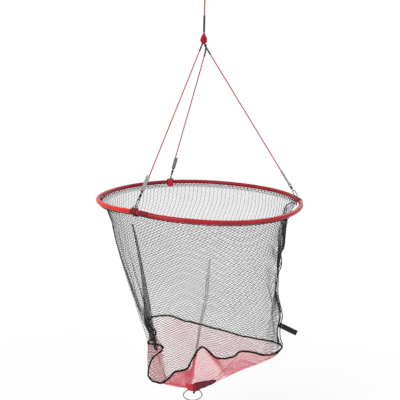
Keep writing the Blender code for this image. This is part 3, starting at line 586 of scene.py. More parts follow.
@dataclass
class Form:
    """The corners, faces and UV places of a piece while it is being made."""

    corners: list[Points] = field(default_factory=list)
    faces: list[list[int]] = field(default_factory=list)
    places: list[Points] = field(default_factory=list)
    count: int = 0

    def add(self, corners: Points, faces: Sequence[Sequence[int]], places: Points) -> None:
        """Add a shape.

        Args:
            corners: its corners.
            faces: corner numbers of each face.
            places: a UV place for each corner of each face, in the faces' order.
        """
        self.faces.extend([[int(c) + self.count for c in face] for face in faces])
        self.corners.append(corners)
        self.places.append(places)
        self.count += len(corners)

    def grid(self, rings: Points, along: Points, around: Points, closed: bool = False) -> None:
        """Add rings of corners as a tube, with its two ends filled where it doesn't go round.

        Args:
            rings: corners as rings x sides x 3, turning left-handed about the way that the rings run.
            along: the first UV value at each ring, one more where the tube goes round.
            around: the second UV value at each side, and once more at the end.
            closed: whether the last ring joins the first.
        """
        count, sides = rings.shape[:2]
        i, k = np.meshgrid(np.arange(count if closed else count - 1), np.arange(sides), indexing="ij")
        j, m = (i + 1) % count, (k + 1) % sides
        faces = np.stack((i * sides + k, i * sides + m, j * sides + m, j * sides + k), axis=-1).reshape(-1, 4)
        uv = np.stack([np.stack((along[i + a], around[k + b]), -1) for a, b in ((0, 0), (0, 1), (1, 1), (1, 0))], 2)
        quads, places = faces.tolist(), uv.reshape(-1, 2)
        corners = rings.reshape(-1, 3)
        if not closed:
            last = (count - 1) * sides
            ends = [list(reversed(range(sides))), list(range(last, last + sides))]
            quads += ends
            places = np.vstack([places] + [np.column_stack((np.full(sides, along[end]), around[:sides]))
                                           for end in (0, count - 1)])
        self.add(corners, quads, places)

    def tube(self, path: Points, radius: float | Points, sides: int = 10, closed: bool = False,
             girth: Callable[[Points, Points], Points] | None = None, first: Sequence[float] | None = None,
             round_ends: bool = True) -> None:
        """Add a round cord, wire or sleeve along a path.

        Args:
            path: its middle line.
            radius: its radius, or one at each point.
            sides: how many corners each ring has.
            closed: whether the path goes round.
            girth: a change of radius, from (distance along, angle round), both as grids.
            first: side direction at the start.
            round_ends: whether open ends are rounded off.
        """
        radii = np.broadcast_to(np.asarray(radius, float), len(path)).copy()
        if round_ends and not closed:
            path, radii = rounded_ends(path, radii)
        _, side, cross = frames_along(path, closed, first)
        along = run_lengths(np.vstack((path, path[:1])) if closed else path)
        angle = round_angles(sides)
        reach = radii[:, None] + np.zeros(sides)
        if girth is not None:
            reach = reach + girth(along[:len(path), None] + 0 * angle, angle + 0 * reach)
        spokes = side[:, None] * np.cos(angle)[:, None] + cross[:, None] * np.sin(angle)[:, None]
        self.grid(path[:, None] + spokes * reach[..., None], along, np.arange(sides + 1) / sides, closed)

    def lathe(self, profile: Rows, steps: int = 32, matrix: Matrix | None = None) -> None:
        """Turn a profile round the Z axis.

        Args:
            profile: (radius, height) from bottom to top.
            steps: corners round.
            matrix: where the shape goes.
        """
        angle = round_angles(steps)
        rows = np.array(profile, float)
        rings = np.stack((rows[:, :1] * np.cos(angle), rows[:, :1] * np.sin(angle), rows[:, 1:] + 0 * angle), axis=-1)
        along = run_lengths(rows)
        if matrix is not None:
            rings = moved(rings.reshape(-1, 3), matrix).reshape(rings.shape)
        self.grid(rings, along, np.arange(steps + 1) / steps)

    def band(self, path: Points, width_way: Place, width: float, thickness: float, columns: int) -> None:
        """Add a woven strap with soft edges along a path.

        Args:
            path: the middle line of the strap.
            width_way: direction across the strap.
            width: its width.
            thickness: its thickness.
            columns: corners across each face.
        """
        travel = frames_along(path, False)[0]
        across = unit(np.broadcast_to(np.asarray(width_way, float), path.shape).copy())
        out = unit(np.cross(across, travel))
        run = np.linspace(-1.0, 1.0, columns)
        crown = np.sqrt(np.maximum(1.0 - np.abs(run) ** 6, 0.0)) * 0.85 + 0.15
        loop = np.vstack((np.column_stack((run, crown)), np.column_stack((run[::-1], -crown[::-1]))))
        rings = (path[:, None] + across[:, None] * (loop[:, :1] * width / 2)
                 + out[:, None] * (loop[:, 1:] * thickness / 2))
        self.grid(rings, run_lengths(path), np.concatenate((loop[:, 0], loop[:1, 0])) * width / 2)

    def mesh(self, name: str) -> Mesh:
        """Make mesh data with a UV map and smooth faces.

        Args:
            name: the data's name.

        Returns:
            The mesh data.
        """
        data = bpy.data.meshes.new(name)
        data.from_pydata(np.vstack(self.corners).tolist(), [], self.faces)
        layer = data.uv_layers.new(name="UVMap")
        layer.data.foreach_set("uv", np.vstack(self.places).astype(np.float32).ravel())
        data.shade_smooth()
        data.set_sharp_from_angle(angle=math.radians(50))
        return data


def rounded_ends(path: Points, radii: Points) -> tuple[Points, Points]:
    """Add small rings at both ends of a path, so that a tube ends rounded.

    Args:
        path: the tube's middle line.
        radii: its radius at each point.

    Returns:
        The longer path and its radii.
    """
    turns = np.radians((80.0, 55.0, 28.0))
    ways = unit(np.array((path[0] - path[1], path[-1] - path[-2])))
    depth = 0.6
    head = [path[0] + ways[0] * radii[0] * depth * (math.sin(a) - 1.0) for a in turns]
    tail = [path[-1] + ways[1] * radii[-1] * depth * (math.sin(a) - 1.0) for a in turns[::-1]]
    inner = path.copy()
    inner[0] = path[0] - ways[0] * radii[0] * depth
    inner[-1] = path[-1] - ways[1] * radii[-1] * depth
    head_r = [radii[0] * math.cos(a) for a in turns]
    tail_r = [radii[-1] * math.cos(a) for a in turns[::-1]]
    return np.vstack((head, inner, tail)), np.concatenate((head_r, radii, tail_r))


def moved(points: Points, matrix: Matrix) -> Points:
    """Return points after a 4 x 4 matrix."""
    m = np.array(matrix)
    return np.asarray(points) @ m[:3, :3].T + m[:3, 3]


def noise_round(count: int, seed: int, waves: int) -> Points:
    """Make a smooth random run that goes round.

    Args:
        count: how many values.
        seed: seed of the random numbers.
        waves: how many waves the fastest part has.

    Returns:
        Values of about -1 to 1.
    """
    rng = np.random.default_rng(seed)
    turn = round_angles(count)
    total = np.zeros(count)
    for n in range(max(1, waves // 3), waves + 1):
        total += rng.normal() * np.cos(n * turn + rng.uniform(0, FULL_TURN))
    return total / np.abs(total).max()


# ---- pieces


def linked(name: str, data: ID) -> Object:
    """Put an object in the scene.

    Args:
        name: the object's name.
        data: its mesh, camera or lamp.

    Returns:
        The object.
    """
    obj = bpy.data.objects.new(name, data)
    bpy.context.scene.collection.objects.link(obj)
    return obj


def settle(obj: Object, look: Finish, body: Carrier, stands_for: str = "") -> Object:
    """Put a finished piece on its body and hide the CAD part that it stands for.

    Args:
        obj: the piece.
        look: its finish.
        body: the body that it rides on, or None for one that rides on no body and keeps its placement in its mesh.
        stands_for: the CAD node that it replaces, if any.

    Returns:
        The piece.
    """
    if not obj.data.materials:
        obj.data.materials.append(material_of(look))
    if stands_for:
        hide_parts(stands_for)
    if body is None:
        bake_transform(obj)
    else:
        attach(obj, body.value if isinstance(body, Body) else body)
    log.info("%s: %d triangles", obj.name, sum(len(p.vertices) - 2 for p in obj.data.polygons))
    return obj


def piece(name: str, form: Form, look: Finish, body: Carrier, stands_for: str = "") -> Object:
    """Make an object of a form and settle it, with settle's arguments."""
    return settle(linked(name, form.mesh(name)), look, body, stands_for)


def tube_piece(name: str, path: Points, radius: float | Points, sides: int, look: Finish, body: Carrier,
               stands_for: str = "", **ways: object) -> Object:
    """Make a piece that is one tube.

    Args:
        name: the piece's name.
        path: the tube's middle line.
        radius: its radius, or one at each point.
        sides: how many corners each ring has.
        look: its finish.
        body: the body that it rides on, as in settle.
        stands_for: the CAD node that it replaces, if any.
        ways: Form.tube's other arguments.

    Returns:
        The piece.
    """
    form = Form()
    form.tube(path, radius, sides, **ways)
    return piece(name, form, look, body, stands_for)


# ---- geometry node trees


class TreeMaker(NodeBench):
    """Builds one Geometry Nodes tree with named inputs."""

    def __init__(self, name: str) -> None:
        """Start an empty tree with a geometry in and out.

        Args:
            name: the tree's name.
        """
        super().__init__(bpy.data.node_groups.new(name, "GeometryNodeTree"))
        for way in ("INPUT", "OUTPUT"):
            self.tree.interface.new_socket(name="Geometry", in_out=way, socket_type="NodeSocketGeometry")
        self.start, self.end = self.node("NodeGroupInput"), self.node("NodeGroupOutput")

    def socket(self, name: str, kind: str = "NodeSocketFloat") -> Socket:
        """Add a named input to the tree and return its socket inside."""
        self.tree.interface.new_socket(name=name, in_out="INPUT", socket_type=kind)
        return self.start.outputs[name]

    def stops(self, step: Socket) -> tuple[Socket, Socket]:
        """Put even stops along the lines.

        Args:
            step: the distance from stop to stop.

        Returns:
            The stops, and the turn that lays +Z along the line at each.
        """
        line = self.node("GeometryNodeMeshToCurve", {"Mesh": self.start.outputs[0]})
        stops = self.node("GeometryNodeCurveToPoints", {"Curve": line.outputs[0], "Length": step}, mode="LENGTH")
        aim = self.node("FunctionNodeAlignRotationToVector", {"Vector": stops.outputs["Tangent"]}, axis="Z")
        return stops.outputs["Points"], aim.outputs[0]

    def swept(self, curve: Socket, radius: Socket) -> Socket:
        """Return the mesh of a thin thread, four-sided, along a curve."""
        ring = self.node("GeometryNodeCurvePrimitiveCircle", {"Resolution": 4, "Radius": radius})
        return self.node("GeometryNodeCurveToMesh", {"Curve": curve, "Profile Curve": ring.outputs[0]}).outputs[0]

    def finish(self, geometry: Socket) -> NodeTree:
        """End the tree with its instances made real and its material set, from the input of that name.

        Args:
            geometry: what the tree has made.

        Returns:
            The tree.
        """
        real = self.node("GeometryNodeRealizeInstances", {0: geometry})
        look = self.socket("Material", "NodeSocketMaterial")
        dressed = self.node("GeometryNodeSetMaterial", {"Geometry": real.outputs[0], "Material": look})
        self.feed(self.end.inputs[0], dressed.outputs[0])
        return self.tree


@cache
def netting_tree() -> NodeTree:
    """Build the tree that turns lines of twine into strands with a knot at each crossing.

    Returns:
        The tree.
    """
    maker = TreeMaker("knotted_netting")
    strand, knot = maker.socket("Strand radius"), maker.socket("Knot radius")
    seed = maker.socket("Seed", "NodeSocketInt")
    lines = maker.node("GeometryNodeMeshToCurve", {"Mesh": maker.start.outputs[0]})
    strands = maker.swept(lines.outputs[0], strand)
    ball = maker.node("GeometryNodeMeshUVSphere", {"Segments": 4, "Rings": 2, "Radius": knot})
    marked = maker.node("GeometryNodeInputNamedAttribute", {"Name": "knot"}, data_type="BOOLEAN")
    turn = maker.node("FunctionNodeRandomValue", {1: (3.0, 3.0, 3.0), "Seed": seed}, data_type="FLOAT_VECTOR")
    size = maker.node("FunctionNodeRandomValue", {2: 0.85, 3: 1.2, "Seed": seed}, data_type="FLOAT")
    knots = maker.node("GeometryNodeInstanceOnPoints", {
        "Points": maker.start.outputs[0], "Selection": marked.outputs[0], "Instance": ball.outputs[0],
        "Rotation": turn.outputs[0], "Scale": size.outputs[1]})
    both = maker.node("GeometryNodeJoinGeometry")
    for geometry in (strands, knots.outputs[0]):
        maker.feed(both.inputs[0], geometry)
    return maker.finish(both.outputs[0])


@cache
def wraps_tree() -> NodeTree:
    """Build the tree that puts small turns of thread round a cord at even steps.

    Returns:
        The tree.
    """
    maker = TreeMaker("thread_turns")
    step, reach = maker.socket("Step"), maker.socket("Turn radius")
    thread, lean = maker.socket("Thread radius"), maker.socket("Lean")
    seed = maker.socket("Seed", "NodeSocketInt")
    stops, aim = maker.stops(step)
    loop = maker.node("GeometryNodeCurvePrimitiveCircle", {"Resolution": 8, "Radius": reach})
    low, high = (maker.node("ShaderNodeVectorMath", {0: (way, way, way), "Scale": lean}, operation="SCALE").outputs[0]
                 for way in (-1.0, 1.0))
    tilt = maker.node("FunctionNodeRandomValue", {0: low, 1: high, "Seed": seed}, data_type="FLOAT_VECTOR")
    size = maker.node("FunctionNodeRandomValue", {2: 0.9, 3: 1.2, "Seed": seed}, data_type="FLOAT")
    tilted = maker.node("FunctionNodeRotateRotation", {0: aim, 1: tilt.outputs[0]}, rotation_space="LOCAL")
    turns = maker.node("GeometryNodeInstanceOnPoints", {
        "Points": stops, "Instance": maker.swept(loop.outputs[0], thread), "Rotation": tilted.outputs[0],
        "Scale": size.outputs[1]})
    return maker.finish(turns.outputs[0])


@cache
def stitches_tree() -> NodeTree:
    """Build the tree that lays short stitches end to end along a line.

    Returns:
        The tree.
    """
    maker = TreeMaker("stitch_row")
    step, length, thread = (maker.socket(name) for name in ("Step", "Stitch length", "Thread radius"))
    stops, aim = maker.stops(step)
    bead = maker.node("GeometryNodeMeshUVSphere", {"Segments": 6, "Rings": 5, "Radius": 1.0})
    shape = maker.node("ShaderNodeCombineXYZ", {0: thread, 1: thread, 2: length})
    sized = maker.node("GeometryNodeTransform", {0: bead.outputs[0], "Scale": shape.outputs[0]})
    stitches = maker.node("GeometryNodeInstanceOnPoints", {
        "Points": stops, "Instance": sized.outputs[0], "Rotation": aim})
    return maker.finish(stitches.outputs[0])


def grown(name: str, tree: NodeTree, lines: Mesh, sizes: dict[str, float], look: Finish,
          body: Carrier, stands_for: str = "") -> Object:
    """Run a tree on lines and keep its result as a plain piece.

    Args:
        name: the piece's name.
        tree: the Geometry Nodes tree.
        lines: mesh data whose edges are the lines.
        sizes: the tree's inputs by name.
        look: its finish.
        body: the body that it rides on, as in settle.
        stands_for: the CAD node that it replaces, if any.

    Returns:
        The piece.
    """
    obj = linked(name, lines)
    step = obj.modifiers.new("grow", "NODES")
    step.node_group = tree
    wanted: dict[str, object] = {**sizes, "Material": material_of(look)}
    for item in tree.interface.items_tree:
        if item.in_out == "INPUT" and item.name in wanted:
            step[item.identifier] = wanted[item.name]
    bpy.context.view_layer.update()
    plain = bpy.data.meshes.new_from_object(obj.evaluated_get(bpy.context.evaluated_depsgraph_get()))
    obj.modifiers.clear()
    obj.data = plain
    plain.name = name
    return settle(obj, look, body, stands_for)


def line_mesh(name: str, paths: Sequence[Points], closed: bool = False) -> Mesh:
    """Make lines of edges.

    Args:
        name: the data's name.
        paths: the points that each line follows.
        closed: whether the lines go round.

    Returns:
        The mesh data.
    """
    data = bpy.data.meshes.new(name)
    corners, edges, base = [], [], 0
    for path in paths:
        corners.extend(np.asarray(path).tolist())
        count = len(path)
        edges += [(base + i, base + (i + 1) % count) for i in range(count if closed else count - 1)]
        base += count
    data.from_pydata(corners, edges, [])
    return data


# ---- the net's own shapes


@dataclass
class HoopShape:
    """The middle line of the hoop, pulled up at its front left anchor and sagging between the anchors."""

    drop: float = 0.66
    radius: float = 0.2915
    waves: Rows = ((1, -0.0012, -0.0015), (2, -0.0009, 0.003), (3, 0.002, -0.0007))
    pull_angle: float = 234.5
    pull_height: float = 0.0035
    pull_spread: float = 12.0

    def point(self, angle: Points, inset: float = 0.0, drop: float = 0.0) -> Points:
        """Find places on the hoop's middle line, or beside it.

        Args:
            angle: angles round the hoop in degrees.
            inset: how far inward of the line.
            drop: how far below the line.

        Returns:
            One point for each angle.
        """
        angle = np.atleast_1d(np.asarray(angle, float))
        turn = np.radians(angle)
        rise = sum(c * np.cos(n * turn) + s * np.sin(n * turn) for n, c, s in self.waves)
        rise = rise + self.pull_height * nearness(angle, self.pull_angle, self.pull_spread)
        return wound(self.radius - inset, turn, rise - self.drop - drop)


def nearness(angle: Points, middle: Points | float, spread: float) -> Points:
    """Return 1 at the middle angle, falling smoothly to 0 away from it."""
    away = (angle - middle + 180.0) % 360.0 - 180.0
    return np.exp(-(away / spread) ** 2)


Surface = Callable[[Points, Points], Points]
Lay = tuple[Points, Points, Points]


@dataclass(frozen=True)
class Gather:
    """A strip where the netting is gathered into close pleats: where it runs, how wide and how many layers it is.

    Each row of a table is (share of the way down, degrees round the bag).
    """

    name: str
    node: str
    middle: Rows
    width: Rows
    layers: int = 3
    squeeze: float = 0.5
    steps: int = 24


@dataclass
class BagShape:
    """The surfaces of the bag: the upper netting, the seam and the lower netting down to its fold.

    The routes are over the hoop. The insets are tables of the share of the way down and how far the upper netting is
    pulled in there. A name that ends in _at holds the angle round the bag where a pull is full, and its spread.
    """

    hoop: HoopShape = field(default_factory=HoopShape)
    rim_inset: float = 0.0035
    top_drop: float = 0.0117
    rim_from: float = 7.0
    rim_to: float = 326.5
    clearance: float = 0.0035
    keel_half_width: float = 0.004
    laced_from: float = 344.0
    laced_turn: float = 12.0
    laced_spread: float = 10.0
    eased_at: tuple[float, float] = (206.0, 24.0)
    left_fold_at: tuple[float, float] = (218.0, 16.0)
    right_at: tuple[float, float] = (10.0, 16.0)
    opening_edge: Rows = (
        (334, 0.236, -0.118, -0.04), (344, 0.2425, -0.06, -0.072), (352, 0.24, -0.037, -0.03),
        (357, 0.242, -0.018, -0.019), (361, 0.253, 0.003, -0.013),
    )
    seam: Rows = (
        (0, 0.259, 0, -0.444), (12, 0.237, 0.03, -0.444), (28, 0.188, 0.065, -0.449),
        (44, 0.138, 0.09, -0.45), (60, 0.091, 0.105, -0.442), (76, 0.044, 0.112, -0.434),
        (90, 0.002, 0.112, -0.422), (104, -0.04, 0.105, -0.411), (118, -0.083, 0.092, -0.392),
        (134, -0.133, 0.07, -0.388), (146, -0.146, 0.054, -0.395), (156, -0.141, 0.037, -0.408),
        (164, -0.123, 0.027, -0.419), (172, -0.127, 0.014, -0.431), (180, -0.145, 0.002, -0.448),
        (188, -0.119, -0.01, -0.446), (195, -0.098, -0.02, -0.448), (202, -0.106, -0.032, -0.46),
        (209, -0.126, -0.042, -0.475), (216, -0.138, -0.05, -0.504), (224, -0.135, -0.058, -0.532),
        (232, -0.11, -0.066, -0.543), (240, -0.088, -0.073, -0.535), (248, -0.059, -0.082, -0.501),
        (257, -0.023, -0.091, -0.484), (264, -0.007, -0.098, -0.447), (270, 0.009, -0.102, -0.42),
        (275, 0.022, -0.104, -0.412), (283, 0.056, -0.105, -0.44), (291, 0.082, -0.104, -0.445),
        (301, 0.115, -0.1, -0.437), (306, 0.129, -0.096, -0.425), (316, 0.169, -0.08, -0.434),
        (326, 0.195, -0.062, -0.448), (340, 0.23, -0.035, -0.457), (350, 0.253, -0.012, -0.453),
    )
    keel: Rows = (
        (0, -0.134, -0.036, -0.541), (0.12, -0.084, -0.036, -0.562), (0.24, -0.029, -0.03, -0.573),
        (0.34, 0.022, -0.024, -0.571), (0.47, 0.067, -0.024, -0.552), (0.63, 0.129, -0.022, -0.519),
        (0.8, 0.189, -0.014, -0.497), (0.94, 0.24, -0.006, -0.474), (1, 0.254, -0.002, -0.46),
    )
    left_inset: Rows = (
        (0, 0), (0.01, 0.014), (0.03, 0.0155), (0.05, 0.0155), (0.12, 0.015), (0.17, 0.011), (0.25, 0.006),
        (0.33, 0.003), (0.45, 0), (0.6, -0.002), (0.7, -0.002), (0.85, -0.002), (1, 0),
    )
    left_fold: Rows = ((0, 0), (0.55, 0), (0.64, 0.004), (0.74, 0.018), (0.81, 0.017), (0.9, 0.003), (1, 0))
    right_inset: Rows = (
        (0, 0), (0.11, 0.0175), (0.18, 0.025), (0.25, 0.027), (0.31, 0.026), (0.345, 0.034), (0.39, 0.029),
        (0.42, 0.023), (0.455, 0.022), (0.49, 0.033), (0.56, 0.032), (0.64, 0.0235), (0.69, 0.017), (0.72, 0.01),
        (0.76, 0.007), (0.8, 0.004), (0.83, 0.0075), (0.86, 0.013), (0.94, 0.012), (1, 0),
    )
    laced_inset: Rows = (
        (0, 0), (0.05, -0.0015), (0.14, -0.0025), (0.19, 0.006), (0.25, 0.0055), (0.34, 0.009), (0.43, 0.0095),
        (0.52, 0.0097), (0.6, 0.0056), (0.68, 0.0005), (0.73, -0.001), (0.78, 0.003), (0.83, 0.005), (0.9, 0.005),
        (1, 0),
    )

    def lowered(self, points: Rows) -> Points:
        """Turn points over the hoop's level into points under the hang point."""
        return np.asarray(points, float) - np.array((0.0, 0.0, self.hoop.drop))

    def laced_angle(self, v: Points | float) -> Points | float:
        """Return the angle of the side lacing, at shares of the way down the upper netting."""
        return self.laced_from + self.laced_turn * v ** 2

    def top_edge(self, u: Points) -> Points:
        """Find the netting's top edge, under the rim and round the side opening.

        Args:
            u: angles of 0 to 360 degrees.

        Returns:
            One point for each angle.
        """
        under = self.hoop.point(u, self.rim_inset, self.top_drop)
        ends = self.hoop.point(np.array((self.rim_to, self.rim_from)), self.rim_inset, self.top_drop)
        rows = [(self.rim_to, *ends[0])]
        rows += [(a, *self.lowered((x, y, z))) for a, x, y, z in self.opening_edge]
        rows += [(360.0 + self.rim_from, *ends[1])]
        side = SmoothTable(rows).at(np.where(u > 180.0, u, u + 360.0))
        held = (u >= self.rim_from) & (u <= self.rim_to)
        return np.where(held[:, None], under, side)

    def seam_point(self, u: Points) -> Points:
        """Return points on the seam cord's middle line."""
        return self.lowered(SmoothTable(self.seam, 360.0).at(u))

    def keel_point(self, u: Points) -> Points:
        """Find the places on the bottom fold that the angles come down to.

        Args:
            u: angles round the bag.

        Returns:
            One point for each angle.
        """
        point = self.lowered(SmoothTable(self.keel).at(np.abs(u - 180.0) / 180.0))
        point[:, 1] += self.keel_half_width * np.sin(np.radians(u))
        return point

    def beside_seam(self, u: Points, toward: Points) -> Points:
        """Find places clear of the seam cord, on the side of the netting's other edge.

        Args:
            u: angles round the bag.
            toward: that other edge's points at the angles.

        Returns:
            One point for each angle.
        """
        here = self.seam_point(u)
        along = unit(self.seam_point(u + 0.5) - self.seam_point(u - 0.5))
        way = unit(toward - here)
        return here + unit(way - along * np.sum(way * along, axis=1, keepdims=True)) * self.clearance

    def wall(self, u: Points, v: Points) -> Points:
        """Find places on the upper netting.

        Args:
            u: angles round the bag.
            v: shares of the way from its top edge to the seam.

        Returns:
            One point for each pair.
        """
        u = u % 360.0
        top = self.top_edge(u)
        smooth = np.mean([self.seam_point(u + turn) for turn in (-24.0, -12.0, 0.0, 12.0, 24.0)], axis=0)
        ease = (smooth - self.seam_point(u)) * ((1.0 - v ** 4) * nearness(u, *self.eased_at))[:, None]
        ease[:, 2] = 0.0
        point = top + (self.beside_seam(u, top) + ease - top) * v[:, None]
        for inset, way, share in (
                (self.left_inset, 1.0, np.maximum(0.0, -np.cos(np.radians(u))) ** 2),
                (self.left_fold, 1.0, nearness(u, *self.left_fold_at)),
                (self.right_inset, -1.0, nearness(u, *self.right_at)),
                (self.laced_inset, -1.0, nearness(u, self.laced_angle(v), self.laced_spread))):
            point[:, 0] += way * SmoothTable(inset).at(v)[:, 0] * share
        return point

    def bottom(self, u: Points, v: Points) -> Points:
        """Find places on the lower netting.

        Args:
            u: angles round the bag.
            v: shares of the way from the seam to the bottom fold.

        Returns:
            One point for each pair.
        """
        u = u % 360.0
        base = self.keel_point(u)
        top = self.beside_seam(u, base)
        return top + (base - top) * v[:, None]


@dataclass
class Netting:
    """The knotted netting of the bag: equal diamonds hung by their corners, folded where the seam gathers it.

    The upper netting is one sheet, laid out from the middle of the front and cut along the side lacing.
    """

    bag: BagShape
    diamond_width: float = 0.0134
    row_step: float = 0.0043
    wall_rows: int = 132
    bottom_rows: int = 62
    wall_depth: float = 0.43
    strand_radius: float = 0.00041
    red_strand_radius: float = 0.00046
    knot_radius: float = 0.00125
    knot_seed: int = 7
    middle_angle: float = 255.0
    stretched: float = 0.35
    stretched_at: tuple[float, float] = (190.0, 30.0)
    stretched_below: float = 0.4
    drawn_open: float = 0.8
    drawn_open_at: tuple[float, float] = (-3.0, 15.0)
    layer_gap: float = 0.0011
    layer_shift: float = 0.37
    gathers: tuple[Gather, ...] = (
        Gather("left_pleat", "net_wall",
               ((0.05, 229.5), (0.1, 230), (0.2, 231.6), (0.3, 232.6), (0.4, 232.8), (0.5, 232.6), (0.6, 231),
                (0.7, 229), (0.8, 231)),
               ((0.05, 0.8), (0.1, 1.4), (0.2, 2), (0.3, 2.8), (0.4, 4.4), (0.5, 6.5), (0.6, 9.5), (0.7, 10.5),
                (0.8, 5)), 3, 0.64),
        Gather("left_crease", "net_wall",
               ((0.12, 210), (0.2, 211.3), (0.3, 212.5), (0.4, 218.2), (0.5, 221), (0.58, 224)),
               ((0.12, 0.4), (0.2, 1), (0.4, 1), (0.58, 0.5)), 1),
        Gather("middle_crease", "net_wall", ((0.24, 276.4), (0.4, 275.7), (0.6, 274.8), (0.8, 272), (1, 268.8)),
               ((0.24, 0.6), (0.4, 1.6), (0.8, 2.4), (1, 3)), 1),
        Gather("right_crease", "net_wall", ((0.46, 317.5), (0.6, 326.5), (0.8, 339), (0.95, 346)),
               ((0.46, 0.3), (0.6, 1), (0.95, 1.4)), 1),
        Gather("bottom_triangle", "net_bottom",
               ((0, 249), (0.1, 249), (0.3, 244), (0.5, 238), (0.7, 230), (0.85, 227)),
               ((0, 14), (0.1, 19), (0.3, 24), (0.5, 24), (0.7, 20), (0.85, 12)), 2, 0.62),
        Gather("bottom_strip", "net_bottom",
               ((0, 266), (0.05, 262.5), (0.1, 258.5), (0.17, 255.5), (0.25, 252.5), (0.35, 249), (0.48, 245.5),
                (0.6, 241), (0.75, 236)),
               ((0, 3.5), (0.1, 7), (0.3, 6.5), (0.5, 6.5), (0.75, 7)), 2, 0.62),
        Gather("bottom_crease", "net_bottom",
               ((0, 304), (0.2, 299), (0.4, 292), (0.6, 285), (0.8, 276), (0.9, 268)),
               ((0, 1.5), (0.4, 2), (0.9, 3.5)), 1, 0.8),
        Gather("bottom_fullness", "net_bottom",
               ((0.35, 300), (0.5, 300), (0.7, 298), (0.85, 296), (1, 296)),
               ((0.35, 8), (0.5, 18), (0.7, 34), (0.85, 48), (1, 60)), 1, 1.9),
    )

    def wall_row(self, row: int) -> Lay:
        """Lay the upper netting's row, so many half diamonds down, from the side lacing round to it again."""
        end = self.bag.laced_angle(min(row * self.row_step / self.wall_depth, 1.0))
        return self.laid(row, self.bag.wall, np.linspace(end - 360.0, end, 721))

    def front_row(self, row: int) -> Lay:
        """Lay a row of the lower netting's front."""
        return self.laid(row, self.bag.bottom, np.linspace(180.0, 359.9, 361))

    def back_row(self, row: int) -> Lay:
        """Lay a row of the lower netting's back."""
        return self.laid(row, self.bag.bottom, np.linspace(0.1, 180.0, 361))

    def laid(self, row: int, surface: Surface, angle: Points) -> Lay:
        """Put a row on a surface, so many half diamonds from its upper edge.

        Args:
            row: how many half diamonds down it is.
            surface: gives the points at angles and shares of the way down.
            angle: angles along the row.

        Returns:
            Angles, places and shares of the way down along the row, over 1 past the surface's lower edge.
        """
        top, base = (surface(angle, np.full_like(angle, v)) for v in (0.0, 1.0))
        downs = row * self.row_step / np.linalg.norm(base - top, axis=1)
        return angle, surface(angle, np.minimum(downs, 1.0)), downs

    def gathered(self, gather: Gather, layer: int) -> Mesh:
        """Lay out the twine of one layer of a gathered strip, counted from the strip's own middle.

        Args:
            gather: the strip.
            layer: which layer, 0 next to the sheet.

        Returns:
            Mesh data of edges, with the knots marked.
        """
        surface = self.bag.bottom if gather.node == "net_bottom" else self.bag.wall
        middles, widths = SmoothTable(gather.middle), SmoothTable(gather.width)
        downs = np.linspace(gather.middle[0][0], gather.middle[-1][0], 200)
        run = run_lengths(surface(middles.at(downs)[:, 0], downs))

        def lay(row: int) -> Lay:
            """Lay one row of the strip.

            Args:
                row: how many half diamonds down it is.

            Returns:
                Angles from the strip's middle, places, and zeros, as no row of a strip passes the sheet's edge.
            """
            down = float(np.interp(row * self.row_step, run, downs))
            half = max(float(widths.at(down)[0, 0]), 0.1) / 2.0
            beside = np.linspace(-half, half, gather.steps)
            angle = float(middles.at(down)[0, 0]) + beside
            points = surface(angle, np.full_like(angle, down))
            return beside, pushed_in(points, angle, np.full_like(angle, self.layer_gap * (layer + 1))), 0.0 * beside

        width = self.diamond_width * gather.squeeze
        return self.twine(int(run[-1] / self.row_step), lay, 0.0, (-180.0, 180.0), width,
                          self.layer_shift * layer * width)

    def twine(self, rows: int, lay: Callable[[int], Lay], middle: float, span: tuple[float, float], width: float,
              shift: float = 0.0) -> Mesh:
        """Lay out the twine of a sheet of netting as lines.

        Args:
            rows: half diamonds from its top to its bottom.
            lay: lays one row.
            middle: the angle that the diamonds are counted from.
            span: the angles between which the twine is kept.
            width: a diamond's width.
            shift: how far the diamonds are moved along the rows.

        Returns:
            Mesh data of edges, with the knots marked.
        """
        across = lay(0)[1]
        reach_out = int(1.5 * run_lengths(across)[-1] / width) + rows // 2 + 40
        strand = np.arange(-reach_out, reach_out)
        places, shares, turns, inside = [], [], [], []
        for row in range(rows + 1):
            angle, points, downs = lay(row)
            step = np.linalg.norm(np.diff(points, axis=0), axis=1)
            loose = (np.clip(downs[1:] / self.stretched_below, 0.0, 1.0) * self.stretched
                     * nearness(angle[1:], *self.stretched_at))
            if middle == self.middle_angle:
                loose = np.maximum(loose, self.drawn_open * nearness(angle[1:], *self.drawn_open_at))
            reach = np.concatenate(([0.0], np.cumsum(step * (1.0 - loose))))
            zero = np.interp(middle, angle, reach) + shift
            want = zero + np.stack((2 * strand + row, 2 * strand - row)) * width / 2
            inside.append((want >= 0.0) & (want <= reach[-1]))
            places.append(np.stack([np.interp(want, reach, points[:, k]) for k in range(3)], axis=-1))
            shares.append(np.interp(want, reach, downs))
            turns.append(np.interp(want, reach, angle))
        point, down, turn, kept = (np.stack(part, axis=2).reshape(-1, *part[0].shape[2:])
                                   for part in (places, shares, turns, inside))
        number = np.arange(len(down)).reshape(-1, rows + 1)
        edges = np.stack((number[:, :-1], number[:, 1:]), axis=-1).reshape(-1, 2)
        near = edges[:, 0]
        whole = (down[near] < 1.0) & (kept[near] | kept[edges[:, 1]])
        edges = edges[whole & (turn[near] >= span[0]) & (turn[near] < span[1])]
        used = np.unique(edges)
        renumber = np.full(len(down), -1)
        renumber[used] = np.arange(len(used))
        data = bpy.data.meshes.new("twine")
        data.from_pydata(point[used].tolist(), renumber[edges].tolist(), [])
        mark = data.attributes.new("knot", "BOOLEAN", "POINT")
        mark.data.foreach_set("value", ((np.arange(len(down)) < len(down) // 2) & kept)[used])
        return data

